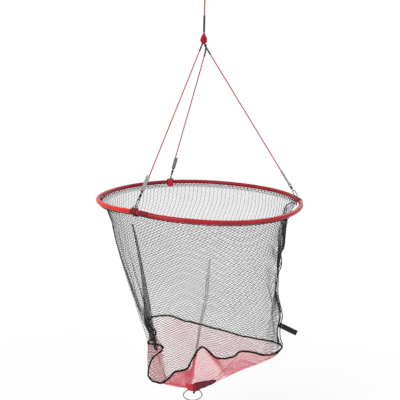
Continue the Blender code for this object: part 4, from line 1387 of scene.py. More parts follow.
    def knotted(self, name: str, lines: Mesh, node: str) -> None:
        """Make a piece of netting from its lines of twine.

        Args:
            name: the piece's name.
            lines: the twine.
            node: the CAD node that it stands for, which also says its colour.
        """
        red = node == "net_bottom"
        sizes = {"Strand radius": self.red_strand_radius if red else self.strand_radius,
                 "Knot radius": self.knot_radius, "Seed": self.knot_seed}
        grown(name, netting_tree(), lines, sizes, RED_NET if red else BLACK_NET, None, node)

    def build(self) -> None:
        """Make the netting, front and back apart, and the gathered strips that lie on it."""
        halves = (
            ("net_wall", "front", self.wall_rows, self.wall_row, self.middle_angle, (180.0, 400.0)),
            ("net_wall", "back", self.wall_rows, self.wall_row, self.middle_angle, (-40.0, 180.0)),
            ("net_bottom", "front", self.bottom_rows, self.front_row, 285.0, (0.0, 400.0)),
            ("net_bottom", "back", self.bottom_rows, self.back_row, 90.0, (0.0, 400.0)),
        )
        for node, half, rows, lay, middle, span in halves:
            self.knotted(f"{node}_{half}_netting", self.twine(rows, lay, middle, span, self.diamond_width), node)
        for gather in self.gathers:
            for layer in range(gather.layers):
                self.knotted(f"{gather.name}_{layer + 1}", self.gathered(gather, layer), gather.node)


def pushed_in(points: Points, angle: Points, inward: Points) -> Points:
    """Return points moved towards the bag's middle line by the given amounts."""
    return points - wound(inward, np.radians(angle), 0.0 * inward)


@dataclass
class RopeTop:
    """The hand loop, the taut rope, its black sleeve and the red knot over the three legs."""

    rope_radius: float = 0.0018
    loop_half: Rows = (
        (-0.003, -0.0664), (-0.0031, -0.0635), (-0.0075, -0.05), (-0.0125, -0.032), (-0.0135, -0.0165),
        (-0.0095, -0.0045),
    )
    knot_top: float = -0.0668
    knot_base: float = -0.0857
    stopper_reach: float = 0.0051
    stopper_core: float = 0.0046
    stopper_turns: float = 4.6
    sleeve_top: float = -0.14
    sleeve_base: float = -0.1885
    sleeve_radius: float = 0.0029
    bridle_profile: Rows = (
        (-0.2192, 0.003), (-0.217, 0.0058), (-0.214, 0.0078), (-0.2105, 0.0086), (-0.2055, 0.0082),
        (-0.1995, 0.0068), (-0.1945, 0.0048), (-0.1905, 0.003), (-0.189, 0.0024),
    )
    bridle_turns: float = 11.0
    bridle_thread: float = 0.00135
    crossing_middle: float = -0.206
    crossing_rise: float = 0.0068
    crossing_thread: float = 0.0012

    def hand_loop(self) -> None:
        """Make the loop that goes over a hand or a hook, and the stopper knot under it."""
        left = [(x, 0.0, z) for x, z in self.loop_half]
        right = [(-x, 0.0, z) for x, z in reversed(self.loop_half)]
        path = smooth_route([*left, (0.0, 0.0, self.rope_radius), *right], 90)
        loop = tube_piece("hand_loop_rope", path, self.rope_radius, 14, ROPE, Body.HAND_LOOP, "hang_loop")
        turns = np.linspace(0.0, self.stopper_turns, 150)
        drop = self.knot_base - self.knot_top + 2 * self.rope_radius
        z = self.knot_top - self.rope_radius + drop * turns / turns[-1]
        form = Form()
        form.tube(wound(self.stopper_reach + 0.0003 * np.sin(7.0 * turns), FULL_TURN * turns, z), self.rope_radius, 12)
        form.lathe(((0.001, self.knot_base + 0.0006), (self.stopper_core, self.knot_base + 0.003),
                    (self.stopper_core, self.knot_top - 0.003), (0.001, self.knot_top - 0.0004)), 24)
        piece("loop_stopper_knot", form, ROPE, Body.HAND_LOOP, "loop_knot")

    def rope(self) -> None:
        """Make the taut rope and the black sleeve over its lower end."""
        gap = 0.0003
        path = upright(np.linspace(self.sleeve_top + gap, self.knot_base - gap, 24))
        rope = tube_piece("taut_rope", path, self.rope_radius, 14, ROPE, Body.ROPE, "main_rope", round_ends=False)
        z = np.linspace(self.sleeve_base, self.sleeve_top, 60)
        share = (z - self.sleeve_base) / (self.sleeve_top - self.sleeve_base)
        radii = self.sleeve_radius - 0.0004 * np.exp(-share * 30) - 0.0008 * np.clip((share - 0.86) / 0.14, 0, 1) ** 2
        radii += 0.00008 * np.sin(share * 55.0)
        tube_piece("rope_end_sleeve", upright(z), radii, 20, SHRINK, Body.ROPE, "rope_sleeve")

    def bridle_knot(self) -> None:
        """Make the red whipped knot: thread wound over a core, with two turns crossed over it."""
        core, base, top = SmoothTable(self.bridle_profile), self.bridle_profile[0][0], self.bridle_profile[-1][0]
        form = Form()
        z = np.linspace(base, top, 40)
        form.lathe([(max(float(r) - 0.0012, 0.0006), float(h)) for r, h in zip(core.at(z)[:, 0], z)], 32)
        turns = np.linspace(0.0, self.bridle_turns, 420)
        height = base + 0.0008 + (top - base - 0.0012) * (turns / self.bridle_turns)
        reach = core.at(height)[:, 0] - 0.0009 + 0.00025 * np.sin(turns * 4.7)
        form.tube(wound(reach, FULL_TURN * turns, height), self.bridle_thread, 8)
        for tilt, start in ((0.9, 0.3), (-0.8, 2.1)):
            turn = np.linspace(0, FULL_TURN, 60, endpoint=False)
            height = self.crossing_middle + self.crossing_rise * tilt * np.sin(turn + start)
            reach = core.at(height)[:, 0] + 0.0002
            form.tube(wound(reach, turn, height), self.crossing_thread, 8, closed=True)
        piece("whipped_bridle_knot", form, KNOT_CORD, Body.ROPE, "bridle_knot")

    def build(self) -> None:
        """Make every piece above the bridle."""
        self.hand_loop()
        self.rope()
        self.bridle_knot()


@dataclass
class BridleLeg:
    """One leg of the bridle: its cord, crimp, swivel, snap, anchor ring and webbing tab.

    Local +Z runs up the leg, local +X along the hoop, and the origin is the middle of the anchor ring's arc.
    Each eye of the swivel is (its middle's height, the reach of its wire's middle line, the wire's radius).
    """

    hoop: HoopShape
    name: str
    angle: float
    cap_length: float
    start: tuple[Place, ...]
    tab_look: WebbingFinish = TAB_RED
    cord_radius: float = 0.0015
    cap_radius: float = 0.0022
    half_pitch: float = 0.0028
    crimp_ends: tuple[float, float] = (0.046, 0.088)
    crimp_radius: float = 0.0031
    turn_centre: float = 0.0435
    cord_end: float = 0.0905
    barrel_ends: tuple[float, float] = (0.026, 0.034)
    barrel_radius: float = 0.0033
    upper_eye: tuple[float, float, float] = (0.0397, 0.0036, 0.001)
    lower_eye: tuple[float, float, float] = (0.0214, 0.0024, 0.0009)
    snap_half_width: float = 0.0035
    snap_wire: float = 0.0011
    gate_wire: float = 0.0009
    gate_pivot: float = 0.0168
    gate_end: float = 0.0059
    ring_half_width: float = 0.0106
    ring_reach: float = 0.007
    ring_wire: float = 0.001
    tab_half_width: float = 0.0092
    tab_thickness: float = 0.0014
    tab_over_bar: float = 0.0021
    tab_over_hoop: float = 0.0077

    def __post_init__(self) -> None:
        """Work out the leg's own frame, as the part does."""
        origin = Vector(self.hoop.point(self.angle, 0.0084, -0.0135)[0])
        turn = math.radians(self.angle)
        self.along = Vector((-math.sin(turn), math.cos(turn), 0.0))
        self.inward = Vector((-math.cos(turn), -math.sin(turn), 0.0))
        up = (Vector(self.start[-1]) - origin).normalized()
        side = (self.along - up * self.along.dot(up)).normalized()
        self.frame = Matrix((side, up.cross(side), up)).transposed().to_4x4()
        self.frame.translation = origin

    def set_down(self, points: Sequence[Place] | Points) -> Points:
        """Return local points at their places in the net."""
        return moved(np.array(points), self.frame)

    def cord(self) -> None:
        """Make the braided cord, through the crimp and round the swivel's eye, and its black cap."""
        bend = [(self.half_pitch * math.cos(a), 0.0, self.turn_centre - self.half_pitch * math.sin(a))
                for a in np.radians(np.arange(0, 181, 7.5))]
        enter = self.frame @ Vector((self.half_pitch, 0.0, self.crimp_ends[1] + 0.004))
        route = np.array([tuple(p) for p in self.start] + [tuple(enter)])
        reach = run_lengths(route)
        table = SmoothTable(np.column_stack((reach, route)))
        cap = table.at(np.linspace(0.0, self.cap_length, 26))
        radii = self.cap_radius * (1.0 - 0.12 * np.clip((np.linspace(0.0, 1.0, 26) - 0.9) / 0.1, 0, 1))
        tube_piece(f"leg_end_sleeve_{self.name}", cap, radii, 16, SHRINK, Body.NET, f"leg_cap_{self.name}")
        free = table.at(np.linspace(self.cap_length + 0.0003, reach[-1], 60))
        down = [(self.half_pitch, 0.0, z) for z in np.linspace(self.crimp_ends[1], self.crimp_ends[0], 8)]
        back = [(-self.half_pitch, 0.0, z) for z in np.linspace(self.crimp_ends[0], self.cord_end, 8)]
        path = np.vstack((free, self.set_down(down + bend + back)))
        tube_piece(f"leg_rope_{self.name}", path, self.cord_radius, 10, LEG_CORD, Body.NET, f"leg_cord_{self.name}")
        log.info("leg_rope_%s is %.3f m long", self.name, run_lengths(path)[-1])

    def crimp(self) -> None:
        """Make the pressed double-barrel crimp, with the press's three dents."""
        low, high = self.crimp_ends
        z = np.linspace(low, high, 56)
        share = (z - low) / (high - low)
        dent = sum(np.exp(-((share - c) / 0.055) ** 2) for c in (0.2, 0.5, 0.8))
        edge = np.minimum(share, 1 - share) * (high - low)
        lip = np.sqrt(np.clip(1 - (1 - np.clip(edge / 0.0012, 0, 1)) ** 2, 0, 1))
        angle = round_angles(40)
        shape_x = self.half_pitch * np.tanh(5 * np.cos(angle)) + self.crimp_radius * np.cos(angle)
        waist = 1.0 - 0.22 * np.exp(-(np.cos(angle) / 0.3) ** 2)
        shape_y = self.crimp_radius * np.sin(angle) * waist
        scale = 0.93 + 0.07 * lip
        rings = np.stack((shape_x * scale[:, None] * (1 - 0.02 * dent[:, None]),
                          shape_y * (scale * (1 - 0.2 * dent))[:, None], z[:, None] + 0 * angle), axis=-1)
        form = Form()
        form.grid(self.set_down(rings.reshape(-1, 3)).reshape(rings.shape), z, np.arange(41) / 40)
        piece(f"pressed_crimp_{self.name}", form, CRIMP, Body.NET, f"crimp_sleeve_{self.name}")

    def eye_path(self, centre: float, radius: float, wire: float, stem: float, upward: bool) -> Points:
        """Lay out a bent-wire eye with its two stems side by side.

        Args:
            centre: height of the eye's middle.
            radius: radius of its wire's middle line.
            wire: radius of the wire.
            stem: height where the stems end, inside the barrel.
            upward: whether this is the upper eye, which stands across the leg.

        Returns:
            The wire's middle line in local places.
        """
        half = wire + 0.0002
        lean = math.asin(half / radius)
        turn = np.linspace(lean, 2 * math.pi - lean, 40)
        toward = 1.0 if upward else -1.0
        side = np.concatenate(([half], radius * np.sin(turn), [-half]))
        high = np.concatenate(([stem], centre - toward * radius * np.cos(turn), [stem]))
        zero = np.zeros_like(side)
        return np.column_stack((zero, side, high) if upward else (side, zero, high))

    def swivel(self) -> None:
        """Make the swivel's two eyes and the barrel between them, which has a groove round its middle."""
        low, high = self.barrel_ends
        middle = (low + high) / 2
        for place, (centre, reach, wire), stem, upward in (("upper", self.upper_eye, middle + 0.0004, True),
                                                           ("lower", self.lower_eye, middle - 0.0004, False)):
            path = self.set_down(self.eye_path(centre, reach, wire, stem, upward))
            tube_piece(f"swivel_{place}_loop_{self.name}", path, wire, 10, NICKEL, Body.NET,
                       f"swivel_eye_{place}_{self.name}")
        r = self.barrel_radius
        base, top = ([(0.0021, end + way * 0.0001), (r - 0.001, end), (r - 0.0003, end + way * 0.0003),
                      (r, end + way * 0.0009), (r, middle - way * 0.0008), (r - 0.00015, middle - way * 0.0004)]
                     for end, way in ((low, 1.0), (high, -1.0)))
        form = Form()
        form.lathe([*base, (r - 0.0005, middle), *reversed(top)], 32, self.frame)
        piece(f"swivel_body_{self.name}", form, NICKEL, f"swivel_{self.name}", f"swivel_barrel_{self.name}")

    def snap(self) -> None:
        """Make the snap's bent-wire frame and its sprung gate."""
        w, pivot = self.snap_half_width, self.gate_pivot
        route = ((w - 0.0002, pivot + 0.0004), (w - 0.0008, 0.019), (0.0012, 0.0204), (0.0, 0.0206),
                 (-0.0012, 0.0204), (0.0008 - w, 0.019), (-w, 0.0165), (-w, 0.004), (0.0005 - w, 0.0012),
                 (0.0018 - w, -0.0012), (0.0, -0.00205), (w - 0.0018, -0.0012), (w - 0.0005, 0.0012),
                 (w, 0.004), (w, self.gate_end - 0.0004))
        frame_wire = smooth_route([(0.0, y, z) for y, z in route], 80)
        tube_piece(f"snap_wire_{self.name}", self.set_down(frame_wire), self.snap_wire, 8, NICKEL, Body.NET,
                   f"snap_frame_{self.name}")
        share = np.linspace(0.0, 1.0, 12)
        gate = np.column_stack((0 * share, w - 0.0002 + 0.0002 * share, pivot - (pivot - self.gate_end) * share))
        tube_piece(f"snap_gate_wire_{self.name}", self.set_down(gate), self.gate_wire, 8, NICKEL, f"gate_{self.name}",
                   f"snap_gate_{self.name}")

    def ring(self) -> None:
        """Make the anchor's D ring."""
        arc = [(self.ring_half_width * math.cos(a), 0.0, self.ring_reach * (math.sin(a) - 1.0))
               for a in np.radians(np.arange(0, 180.1, 6.0))]
        bar = [(self.ring_half_width * x, 0.0, -self.ring_reach) for x in np.linspace(-0.9, 0.9, 13)]
        tube_piece(f"anchor_d_ring_{self.name}", self.set_down(arc + bar), self.ring_wire, 10, STEEL, Body.NET,
                   f"anchor_ring_{self.name}", closed=True)

    def tab(self) -> None:
        """Make the webbing tab: round the ring's bar, round the hoop, and stitched below it."""
        centre = Vector(self.hoop.point(self.angle)[0])
        lift = self.frame @ Vector((0.0, 0.0, -self.ring_reach)) - centre
        bx, bz = lift.dot(self.inward), lift.z
        lean = math.atan2(bx, bz)
        small, large = self.tab_over_bar, self.tab_over_hoop
        flare = math.asin((large - small) / math.hypot(bx, bz))
        over_bar, over_hoop = ([(x + reach * math.sin(lean + a), z + reach * math.cos(lean + a))
                                for a in np.linspace(*angles)]
                               for x, z, reach, angles in (
                                   (bx, bz, small, (math.pi / 2 - flare, -math.pi / 2 + flare, 14)),
                                   (0.0, 0.0, large, (-math.pi / 2 + flare, -math.pi / 2 - 2.2, 26))))
        outer = [p for p in over_bar + over_hoop if not (p[0] > 0.004 and p[1] < 0.0)]
        start = (large * math.sin(lean + math.pi / 2 - flare), large * math.cos(lean + math.pi / 2 - flare))
        inner = [start, (0.0079, 0.0005), (0.0078, -0.0045), (0.0078, -0.0075), (0.0078, -0.0135)]
        loop = [tuple(centre + self.inward * x + Vector((0, 0, z))) for x, z in inner[::-1] + outer]
        form = Form()
        form.band(smooth_route(loop, 70), tuple(self.along), 2 * self.tab_half_width - 0.0003, self.tab_thickness,
                  columns=8)
        piece(f"anchor_tab_webbing_{self.name}", form, self.tab_look, Body.NET, f"anchor_tab_{self.name}")
        face = self.inward * (0.0078 + 0.0008)
        rows = [np.array([tuple(centre + face + self.along * x + Vector((0, 0, z)))
                          for x in np.linspace(-0.0075, 0.0075, 12)]) for z in (-0.0085, -0.0115)]
        grown(f"anchor_tab_stitches_{self.name}", stitches_tree(), line_mesh("tab_rows", rows),
              {"Step": 0.0022, "Stitch length": 0.0009, "Thread radius": 0.0003}, BLACK_THREAD, Body.NET)

    def build(self) -> None:
        """Make every piece of the leg."""
        self.cord()
        self.crimp()
        self.swivel()
        self.snap()
        self.ring()
        self.tab()


@dataclass
class PaddedHoop:
    """The sprung hoop's padded sleeve, its cuff and stitching, and the lacing that carries the netting.

    The sleeve is creased most at the angle creased_at, which comes with its spread.
    """

    bag: BagShape
    sleeve_radius: float = 0.0063
    join_angle: float = 240.6
    cuff_half_angle: float = 2.9
    cuff_radius: float = 0.0073
    rim_cord_radius: float = 0.0013
    rim_cord_drop: float = 0.0086
    creased_at: tuple[float, float] = (185.0, 34.0)
    crease_depth: float = 0.00032
    rim_stitches_round: int = 137
    rim_thread: float = 0.00055
    rim_thread_route: Rows = (
        (-0.25, 0.006, 0.0118), (0, 0.0008, 0.0066), (0.25, 0.0062, 0.005), (0.5, 0.0072, 0.009),
    )

    def share_out(self, form: Form) -> None:
        """Turn the distances along the hoop, in a form's UV places, into shares of the way round."""
        for uv in form.places:
            uv[:, 0] /= FULL_TURN * self.bag.hoop.radius

    def sleeve(self) -> None:
        """Make the creased sleeve round the hoop, and the short cuff over its join."""
        count = 900
        angle = self.join_angle + 0.1 + 359.8 * np.arange(count) / (count - 1)
        fine, broad = noise_round(count, 11, 300), noise_round(count, 12, 60)
        creased = 0.25 + 0.75 * nearness(angle, *self.creased_at)

        def girth(along: Points, turn: Points) -> Points:
            """Return how far the sleeve stands in or out, from (distance along, angle round)."""
            facing = 0.6 + 0.4 * np.cos(turn + 3.0 * broad[:, None])
            return (self.crease_depth * fine * creased)[:, None] * facing + 0.00018 * broad[:, None] * np.cos(2 * turn)

        form = Form()
        form.tube(self.bag.hoop.point(angle), self.sleeve_radius, 22, girth=girth, first=UP, round_ends=False)
        self.share_out(form)
        sleeve = piece("padded_hoop_sleeve", form, HOOP_RED, Body.NET, "hoop_sleeve")
        angle = self.join_angle + np.linspace(-self.cuff_half_angle, self.cuff_half_angle, 40)
        share = np.abs(np.linspace(-1, 1, 40))
        radii = self.cuff_radius - 0.0006 * np.clip((share - 0.85) / 0.15, 0, 1) ** 2 + 0.00012 * np.sin(angle * 9.0)
        form = Form()
        form.tube(self.bag.hoop.point(angle), radii, 24, first=UP)
        self.share_out(form)
        piece("sleeve_join_cuff", form, CUFF_RED, Body.NET, "hoop_cuff")

    def stitching(self) -> None:
        """Sew the sleeve's seam, in a row of stitches along its top inner edge."""
        angle = self.join_angle + 4.0 + 352.0 * np.arange(720) / 719
        reach = self.sleeve_radius + 0.0002
        row = self.bag.hoop.point(angle, inset=reach * 0.62, drop=-reach * 0.78)
        grown("sleeve_seam_stitches", stitches_tree(), line_mesh("seam_row", [row]),
              {"Step": 0.0105, "Stitch length": 0.0026, "Thread radius": 0.00085}, BLACK_THREAD, Body.NET)

    def rim(self) -> None:
        """Make the rim cord and the thread that laces it to the sleeve and to the netting."""
        hoop, start, end = self.bag.hoop, self.bag.rim_from, self.bag.rim_to
        path = hoop.point(np.linspace(start, end, 500), self.bag.rim_inset, self.rim_cord_drop)
        tube_piece("rim_rope", path, self.rim_cord_radius * 0.7, 8, BLACK_CORD, Body.NET, "rim_cord")
        count = int(round((end - start) / 360.0 * self.rim_stitches_round))
        step = (end - start) / count
        rows = [hoop.point(start + step * (i + 0.5) + turn * step, inset, drop)[0]
                for i in range(count) for turn, inset, drop in self.rim_thread_route]
        tube_piece("rim_lacing_thread", smooth_route(rows, len(rows) * 3), self.rim_thread, 6, BLACK_THREAD, Body.NET)
        grown("rim_thread_turns", wraps_tree(), line_mesh("rim_line", [path]),
              {"Step": 0.0134, "Turn radius": self.rim_cord_radius, "Thread radius": 0.0009, "Lean": 0.35, "Seed": 3},
              BLACK_THREAD, Body.NET)

    def build(self) -> None:
        """Make every piece of the hoop, and dress its hidden wire."""
        self.sleeve()
        self.stitching()
        self.rim()
        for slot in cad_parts["hoop_wire"].material_slots:
            slot.material = material_of(STEEL)


@dataclass
class SeamAndLacing:
    """The seam cord between the two nettings, and the cords of the bag's open side. The routes are over the hoop."""

    bag: BagShape
    seam_radius: float = 0.0024
    seam_wander: float = 0.0011
    lacing_radius: float = 0.0014
    opening_radius: float = 0.0013
    side_route: Rows = (
        (0.279, 0.0215, -0.009), (0.2693, 0.012, -0.005), (0.2566, 0, -0.008),
        (0.2455, -0.02, -0.0147), (0.243, -0.035, -0.0247), (0.245, -0.048, -0.0461),
        (0.247, -0.058, -0.067), (0.2465, -0.055, -0.089), (0.245, -0.05, -0.126),
        (0.2375, -0.046, -0.142), (0.242, -0.042, -0.168), (0.24, -0.039, -0.189),
        (0.235, -0.037, -0.202), (0.2355, -0.032, -0.235), (0.237, -0.027, -0.27),
        (0.244, -0.022, -0.3), (0.252, -0.018, -0.328), (0.255, -0.015, -0.347),
        (0.252, -0.012, -0.365), (0.2505, -0.009, -0.386), (0.252, -0.005, -0.411),
        (0.2558, -0.002, -0.426), (0.2618, 0, -0.4385),
    )
    opening_route: Rows = (
        (0.2372, -0.159, -0.013), (0.238, -0.125, -0.033), (0.241, -0.09, -0.052), (0.244, -0.065, -0.064),
    )

    def seam(self) -> None:
        """Make the thick seam cord and the thread wound round it."""
        path = self.bag.seam_point(np.arange(0.0, 360.0, 0.5))
        path += self.seam_wander * np.column_stack([noise_round(len(path), seed, 60) for seed in (31, 32, 33)])
        tube_piece("seam_rope", path, self.seam_radius, 8, BLACK_CORD, None, "seam_cord", closed=True)
        sizes = {"Step": 0.01, "Turn radius": self.seam_radius + 0.0003, "Thread radius": 0.0011, "Lean": 0.5,
                 "Seed": 5}
        grown("seam_thread_turns", wraps_tree(), line_mesh("seam_line", [path], closed=True), sizes, BLACK_THREAD, None)

    def side(self) -> None:
        """Make the lacing down the bag's open side and the cord along the opening's front edge."""
        path = smooth_route(self.bag.lowered(self.side_route).tolist(), 320)
        tube_piece("side_lacing_rope", path, self.lacing_radius, 8, BLACK_CORD, None, "side_lacing")
        sizes = {"Step": 0.008, "Turn radius": self.lacing_radius + 0.0002, "Thread radius": 0.0006, "Lean": 0.7,
                 "Seed": 9}
        grown("side_thread_turns", wraps_tree(), line_mesh("side_line", [path]), sizes, BLACK_THREAD, None)
        path = smooth_route(self.bag.lowered(self.opening_route).tolist(), 80)
        tube_piece("opening_edge_rope", path, self.opening_radius, 8, BLACK_CORD, None, "opening_cord")

    def build(self) -> None:
        """Make every cord that is laced into the netting."""
        self.seam()
        self.side()


@dataclass
class BagEnd:
    """The rolled end of the bag, the tie round the ring's bar, and the pull ring."""

    bag: BagShape
    roll_from: Place = (-0.006, -0.0535, -0.562)
    roll_to: Place = (0.063, -0.056, -0.536)
    roll_radii: tuple[float, float] = (0.0115, 0.0042)
    bunch_route: Rows = (
        (-0.026, -0.044, -0.557), (-0.02, -0.049, -0.559), (-0.012, -0.053, -0.561),
        (-0.003, -0.054, -0.5615),
    )
    bunch_radii: tuple[float, float] = (0.004, 0.0096)
    tie_radius: float = 0.001
    tie_reach: float = 0.0033
    lump_below: Place = (0.0, -0.001, -0.0067)
    lump_radius: float = 0.0011
    ring_axis: Place = (-0.002, -0.0405, -0.576)
    ring_wire: float = 0.0015
    ring_route: Rows = (
        (-0.0195, 0), (-0.0275, -0.005), (-0.0335, -0.015), (-0.027, -0.0265), (-0.007, -0.0325),
        (0.011, -0.028), (0.0225, -0.016), (0.019, -0.005), (0.0135, 0), (0.002, 0), (-0.01, 0),
    )

    def roll(self) -> None:
        """Make the roll of gathered netting, with its folds twisted along it."""
        start, end = self.bag.lowered((self.roll_from, self.roll_to))
        share = np.linspace(0.0, 1.0, 70)
        big, small = self.roll_radii
        rows = ((0.0, big * 0.55), (0.05, big * 0.92), (0.12, big), (0.35, big * 0.86), (0.65, (big + small) / 2),
                (0.95, small), (1.0, small * 0.6))
        radii = SmoothTable(rows).at(share)[:, 0]
        bend = noise_round(70, 21, 9)
        path = start + (end - start) * share[:, None] + np.column_stack((0 * bend, 0.0006 * bend, 0.0008 * bend))
        run = share * float(np.linalg.norm(end - start))

        def girth(along: Points, turn: Points) -> Points:
            """Return the folds' height over the roll.

            Args:
                along: distance along the roll.
                turn: angle round it.

            Returns:
                One height for each pair.
            """
            twist = along * 90.0
            folds = 0.1 * np.cos(5 * turn + twist) + 0.06 * np.cos(9 * turn - 1.7 * twist + 1.0)
            return np.interp(along, run, radii) * (folds + 0.05 * np.cos(2 * turn + along * 200.0))

        tube_piece("rolled_bag_end", path, radii, 30, ROLLED, Body.BAG_END, "cod_roll", girth=girth)

    def bunch(self) -> None:
        """Make the bunch of unrolled red netting that runs into the roll from the left."""
        path = smooth_route(self.bag.lowered(self.bunch_route).tolist(), 40)
        thin, thick = self.bunch_radii
        radii = thin + (thick - thin) * np.sin(np.pi * 0.5 * np.linspace(0.0, 1.0, 40)) ** 0.8

        def girth(along: Points, turn: Points) -> Points:
            """Return the small folds' height, from (distance along, angle round)."""
            return 0.0009 * np.cos(7 * turn + along * 120.0) * np.clip(along / 0.008, 0.2, 1.0)

        tube_piece("gathered_netting_bunch", path, radii, 26, BUNCHED, Body.BAG_END, girth=girth)

    def tie(self) -> None:
        """Make the tie: three turns of black cord round the ring's bar, knotted below it."""
        axis = self.bag.lowered([self.ring_axis])[0]
        form = Form()
        turn = np.linspace(0, 3 * FULL_TURN, 110)
        across = np.linspace(-0.0016, 0.0016, 110)
        form.tube(axis + np.roll(wound(self.tie_reach, turn, across), 1, axis=1), self.tie_radius, 8)
        lump = axis + np.array(self.lump_below)
        turn = np.linspace(0, 2.5 * FULL_TURN, 100)
        height = np.linspace(0.0018, -0.0018, 100)
        reach = 0.0026 * np.sqrt(np.clip(1 - (height / 0.003) ** 2, 0.1, 1))
        form.tube(lump + wound(reach, turn, height), self.lump_radius, 8)
        form.tube(lump + np.column_stack((height * 0.8, 0.0021 * np.cos(turn), 0.0023 * np.sin(turn))),
                  self.tie_radius, 8)
        piece("ring_tie", form, BLACK_CORD, Body.BAG_END, "cod_tie")

    def ring(self) -> None:
        """Make the wire pull ring."""
        axis = self.bag.lowered([self.ring_axis])[0]
        route = smooth_route([(x, 0.0, z) for x, z in self.ring_route], 120, closed=True)
        tube_piece("wire_pull_ring", route + np.array((0.0, axis[1], axis[2])), self.ring_wire, 12, STEEL, Body.RING,
                   "bottom_ring", closed=True)

    def build(self) -> None:
        """Make every piece of the bag's end."""
        self.roll()
        self.bunch()
        self.tie()
        self.ring()


@dataclass
class SideStrap:
    """The short black strap sewn to the bag's right side."""

    bag: BagShape
    root: Place = (0.256, -0.0215, -0.3735)
    tip: Place = (0.298, -0.03, -0.3905)
    up: Place = (0.298, 0.0, 0.955)
    width: float = 0.016
    thickness: float = 0.0024
    base_length: float = 0.0114
    curl: float = 0.0009
    stitch_rows: tuple[float, float] = (0.86, 0.93)

    def build(self) -> None:
        """Make the strap, the patch that it flexes from, and its stitches."""
        root, tip = (Vector(p) for p in self.bag.lowered((self.root, self.tip)))
        out = (tip - root).normalized()
        up = Vector(self.up)
        up = (up - out * up.dot(out)).normalized()
        face = out.cross(up)
        length = (tip - root).length
        spans = (("side_strap_webbing", 0.5 * -self.thickness, length, Body.STRAP, "strap"),
                 ("side_strap_patch", -self.base_length, -0.5 * self.thickness - 0.0003, Body.STRAP_PATCH,
                  "strap_base"))
        for name, start, end, body, node in spans:
            share = np.linspace(0.0, 1.0, 30)
            path = np.array([tuple(root + out * (start + (end - start) * s)) for s in share])
            if node == "strap":
                path += np.outer(self.curl * np.sin(share * 3.0) * share, np.array(face))
            form = Form()
            form.band(path, tuple(up), self.width, self.thickness, columns=10)
            obj = piece(name, form, STRAP_BLACK, body, node)
        rows = []
        for x in self.stitch_rows:
            for side in (1.0, -1.0):
                lift = side * (self.thickness / 2 + 0.0004)
                rows.append(np.array([tuple(root + out * (length * x) + up * (s * self.width * 0.42) + face * lift)
                                      for s in np.linspace(-1, 1, 16)]))
        grown("side_strap_stitches", stitches_tree(), line_mesh("strap_rows", rows),
              {"Step": 0.0024, "Stitch length": 0.001, "Thread radius": 0.0003}, BLACK_THREAD, Body.STRAP)


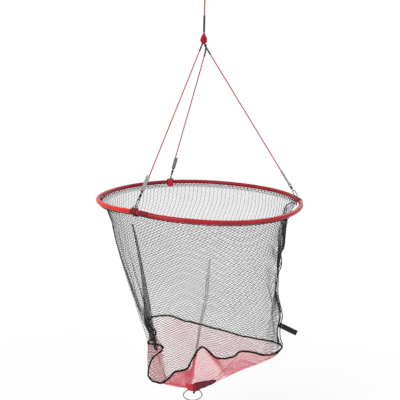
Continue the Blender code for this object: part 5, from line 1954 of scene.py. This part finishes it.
@dataclass
class Studio:
    """The camera at the photograph's place, a pale floor and soft lights.

    Each lamp is (its name, its place, its width in metres, its power in watts).
    """

    picture_size: float = 400.0
    sensor_width: float = 36.0
    distance: float = 2.2
    elevation: float = 11.5
    roll: float = 1.5
    focal_pixels: float = 759.0
    centre: tuple[float, float] = (199.6, 199.4)
    hoop_height: float = -0.66
    light_strength: float = 0.55
    floor_height: float = -1.5
    floor_reach: float = 12.0
    floor_colour: Colour = (0.55, 0.55, 0.55)
    floor_glow: float = 0.49
    floor_fades: tuple[float, float] = (0.5, 1.5)
    lamp_target: Place = (0.0, 0.0, -0.75)
    lamps: tuple[tuple[str, Place, float, float], ...] = (
        ("key", (-1.6, -2.2, 0.9), 1.6, 44.0), ("fill", (2.2, -1.6, 0.1), 1.8, 16.0),
        ("rim", (0.6, 2.2, 1.0), 1.4, 20.0),
    )

    def camera(self) -> None:
        """Place the camera and frame the picture."""
        data = bpy.data.cameras.new("photo_camera")
        data.sensor_width = self.sensor_width
        data.sensor_fit = "HORIZONTAL"
        data.lens = self.focal_pixels / self.picture_size * self.sensor_width
        data.shift_x = (self.picture_size / 2 - self.centre[0]) / self.picture_size
        data.shift_y = (self.centre[1] - self.picture_size / 2) / self.picture_size
        data.clip_start = 0.05
        camera = linked("photo_camera", data)
        up = math.radians(self.elevation)
        turn = Euler((math.pi / 2 - up, 0.0, 0.0)).to_matrix() @ Matrix.Rotation(math.radians(self.roll), 3, "Z")
        camera.matrix_world = Matrix.Translation(
            (0.0, -self.distance * math.cos(up), self.hoop_height + self.distance * math.sin(up))) @ turn.to_4x4()
        bpy.context.scene.camera = camera

    def seen(self, bench: NodeBench) -> Socket:
        """Tell the rays that the camera sees, straight or in gloss and glass, from the rest.

        Args:
            bench: the tree that asks.

        Returns:
            1 for such a ray and 0 for another.
        """
        rays = bench.node("ShaderNodeLightPath").outputs
        total = rays["Is Camera Ray"]
        for name in ("Is Glossy Ray", "Is Transmission Ray"):
            total = bench.node("ShaderNodeMath", {0: total, 1: rays[name]}, operation="MAXIMUM").outputs[0]
        return total

    def world(self) -> None:
        """Make the white backdrop and the even light from all round."""
        world = bpy.data.worlds.new("studio")
        bpy.context.scene.world = world
        world.use_nodes = True
        bench = NodeBench(world.node_tree)
        bench.tree.nodes.clear()
        light, backdrop = (bench.node("ShaderNodeBackground", {0: (*WHITE, 1.0), 1: strength}).outputs[0]
                           for strength in (self.light_strength, 1.0))
        mix = bench.node("ShaderNodeMixShader", {0: self.seen(bench), 1: light, 2: backdrop})
        bench.node("ShaderNodeOutputWorld", {0: mix.outputs[0]})

    def floor(self) -> None:
        """Make the floor, which is white to the camera and keeps the net's shadow."""
        data = bpy.data.meshes.new("floor")
        reach = self.floor_reach
        data.from_pydata([(-reach, -reach, 0.0), (reach, -reach, 0.0), (reach, reach, 0.0), (-reach, reach, 0.0)],
                         [], [(0, 1, 2, 3)])
        floor = linked("floor", data)
        floor.location.z = self.floor_height
        sheet = NodeSheet("pale_floor")
        sheet.dress(Base_Color=self.floor_colour, Roughness=0.9, Specular_IOR_Level=0.0)
        plain = sheet.shader.outputs[0]
        glow = sheet.node("ShaderNodeEmission", {1: self.floor_glow})
        lit = sheet.node("ShaderNodeAddShader", {0: plain, 1: glow.outputs[0]})
        away = sheet.node("ShaderNodeVectorMath", {0: sheet.place}, operation="LENGTH")
        fade = sheet.node("ShaderNodeMapRange", {
            "Value": away.outputs["Value"], "From Min": self.floor_fades[0], "From Max": self.floor_fades[1]})
        far = sheet.node("ShaderNodeEmission")
        faded = sheet.node("ShaderNodeMixShader", {0: fade.outputs[0], 1: lit.outputs[0], 2: far.outputs[0]})
        mix = sheet.node("ShaderNodeMixShader", {0: self.seen(sheet), 1: plain, 2: faded.outputs[0]})
        sheet.feed(sheet.tree.nodes["Material Output"].inputs["Surface"], mix.outputs[0])
        data.materials.append(sheet.material)

    def hang_lamps(self) -> None:
        """Hang a broad key lamp, a weaker fill and a lamp from behind."""
        for name, place, size, power in self.lamps:
            data = bpy.data.lights.new(name, "AREA")
            data.shape = "SQUARE"
            data.size = size
            data.energy = power
            way = Vector(self.lamp_target) - Vector(place)
            linked(name, data).matrix_world = (
                Matrix.Translation(place) @ way.to_track_quat("-Z", "Y").to_matrix().to_4x4())

    def build(self) -> None:
        """Set up the camera, backdrop, floor and lamps."""
        bpy.context.scene.view_settings.view_transform = "Standard"
        self.camera()
        self.world()
        self.floor()
        self.hang_lamps()


def main() -> None:
    """Build the studio and every sub-assembly."""
    logging.basicConfig(level=logging.INFO, format="%(name)s: %(message)s")
    bag = BagShape()
    legs = (
        BridleLeg(bag.hoop, "front_left", 234.5, 0.024, ((-0.0035, -0.0045, -0.2183),), TAB_DARK),
        BridleLeg(bag.hoop, "back_left", 109.75, 0.039,
                  ((0.0064, 0.0048, -0.218), (0.0063, 0.0052, -0.23), (0.005, 0.006, -0.242))),
        BridleLeg(bag.hoop, "right", 3.5, 0.034, ((0.0018, -0.0038, -0.2199),)),
    )
    for assembly in (Studio(), RopeTop(), *legs, PaddedHoop(bag), Netting(bag), SeamAndLacing(bag), BagEnd(bag),
                     SideStrap(bag)):
        assembly.build()


if __name__ == "__main__":
    main()
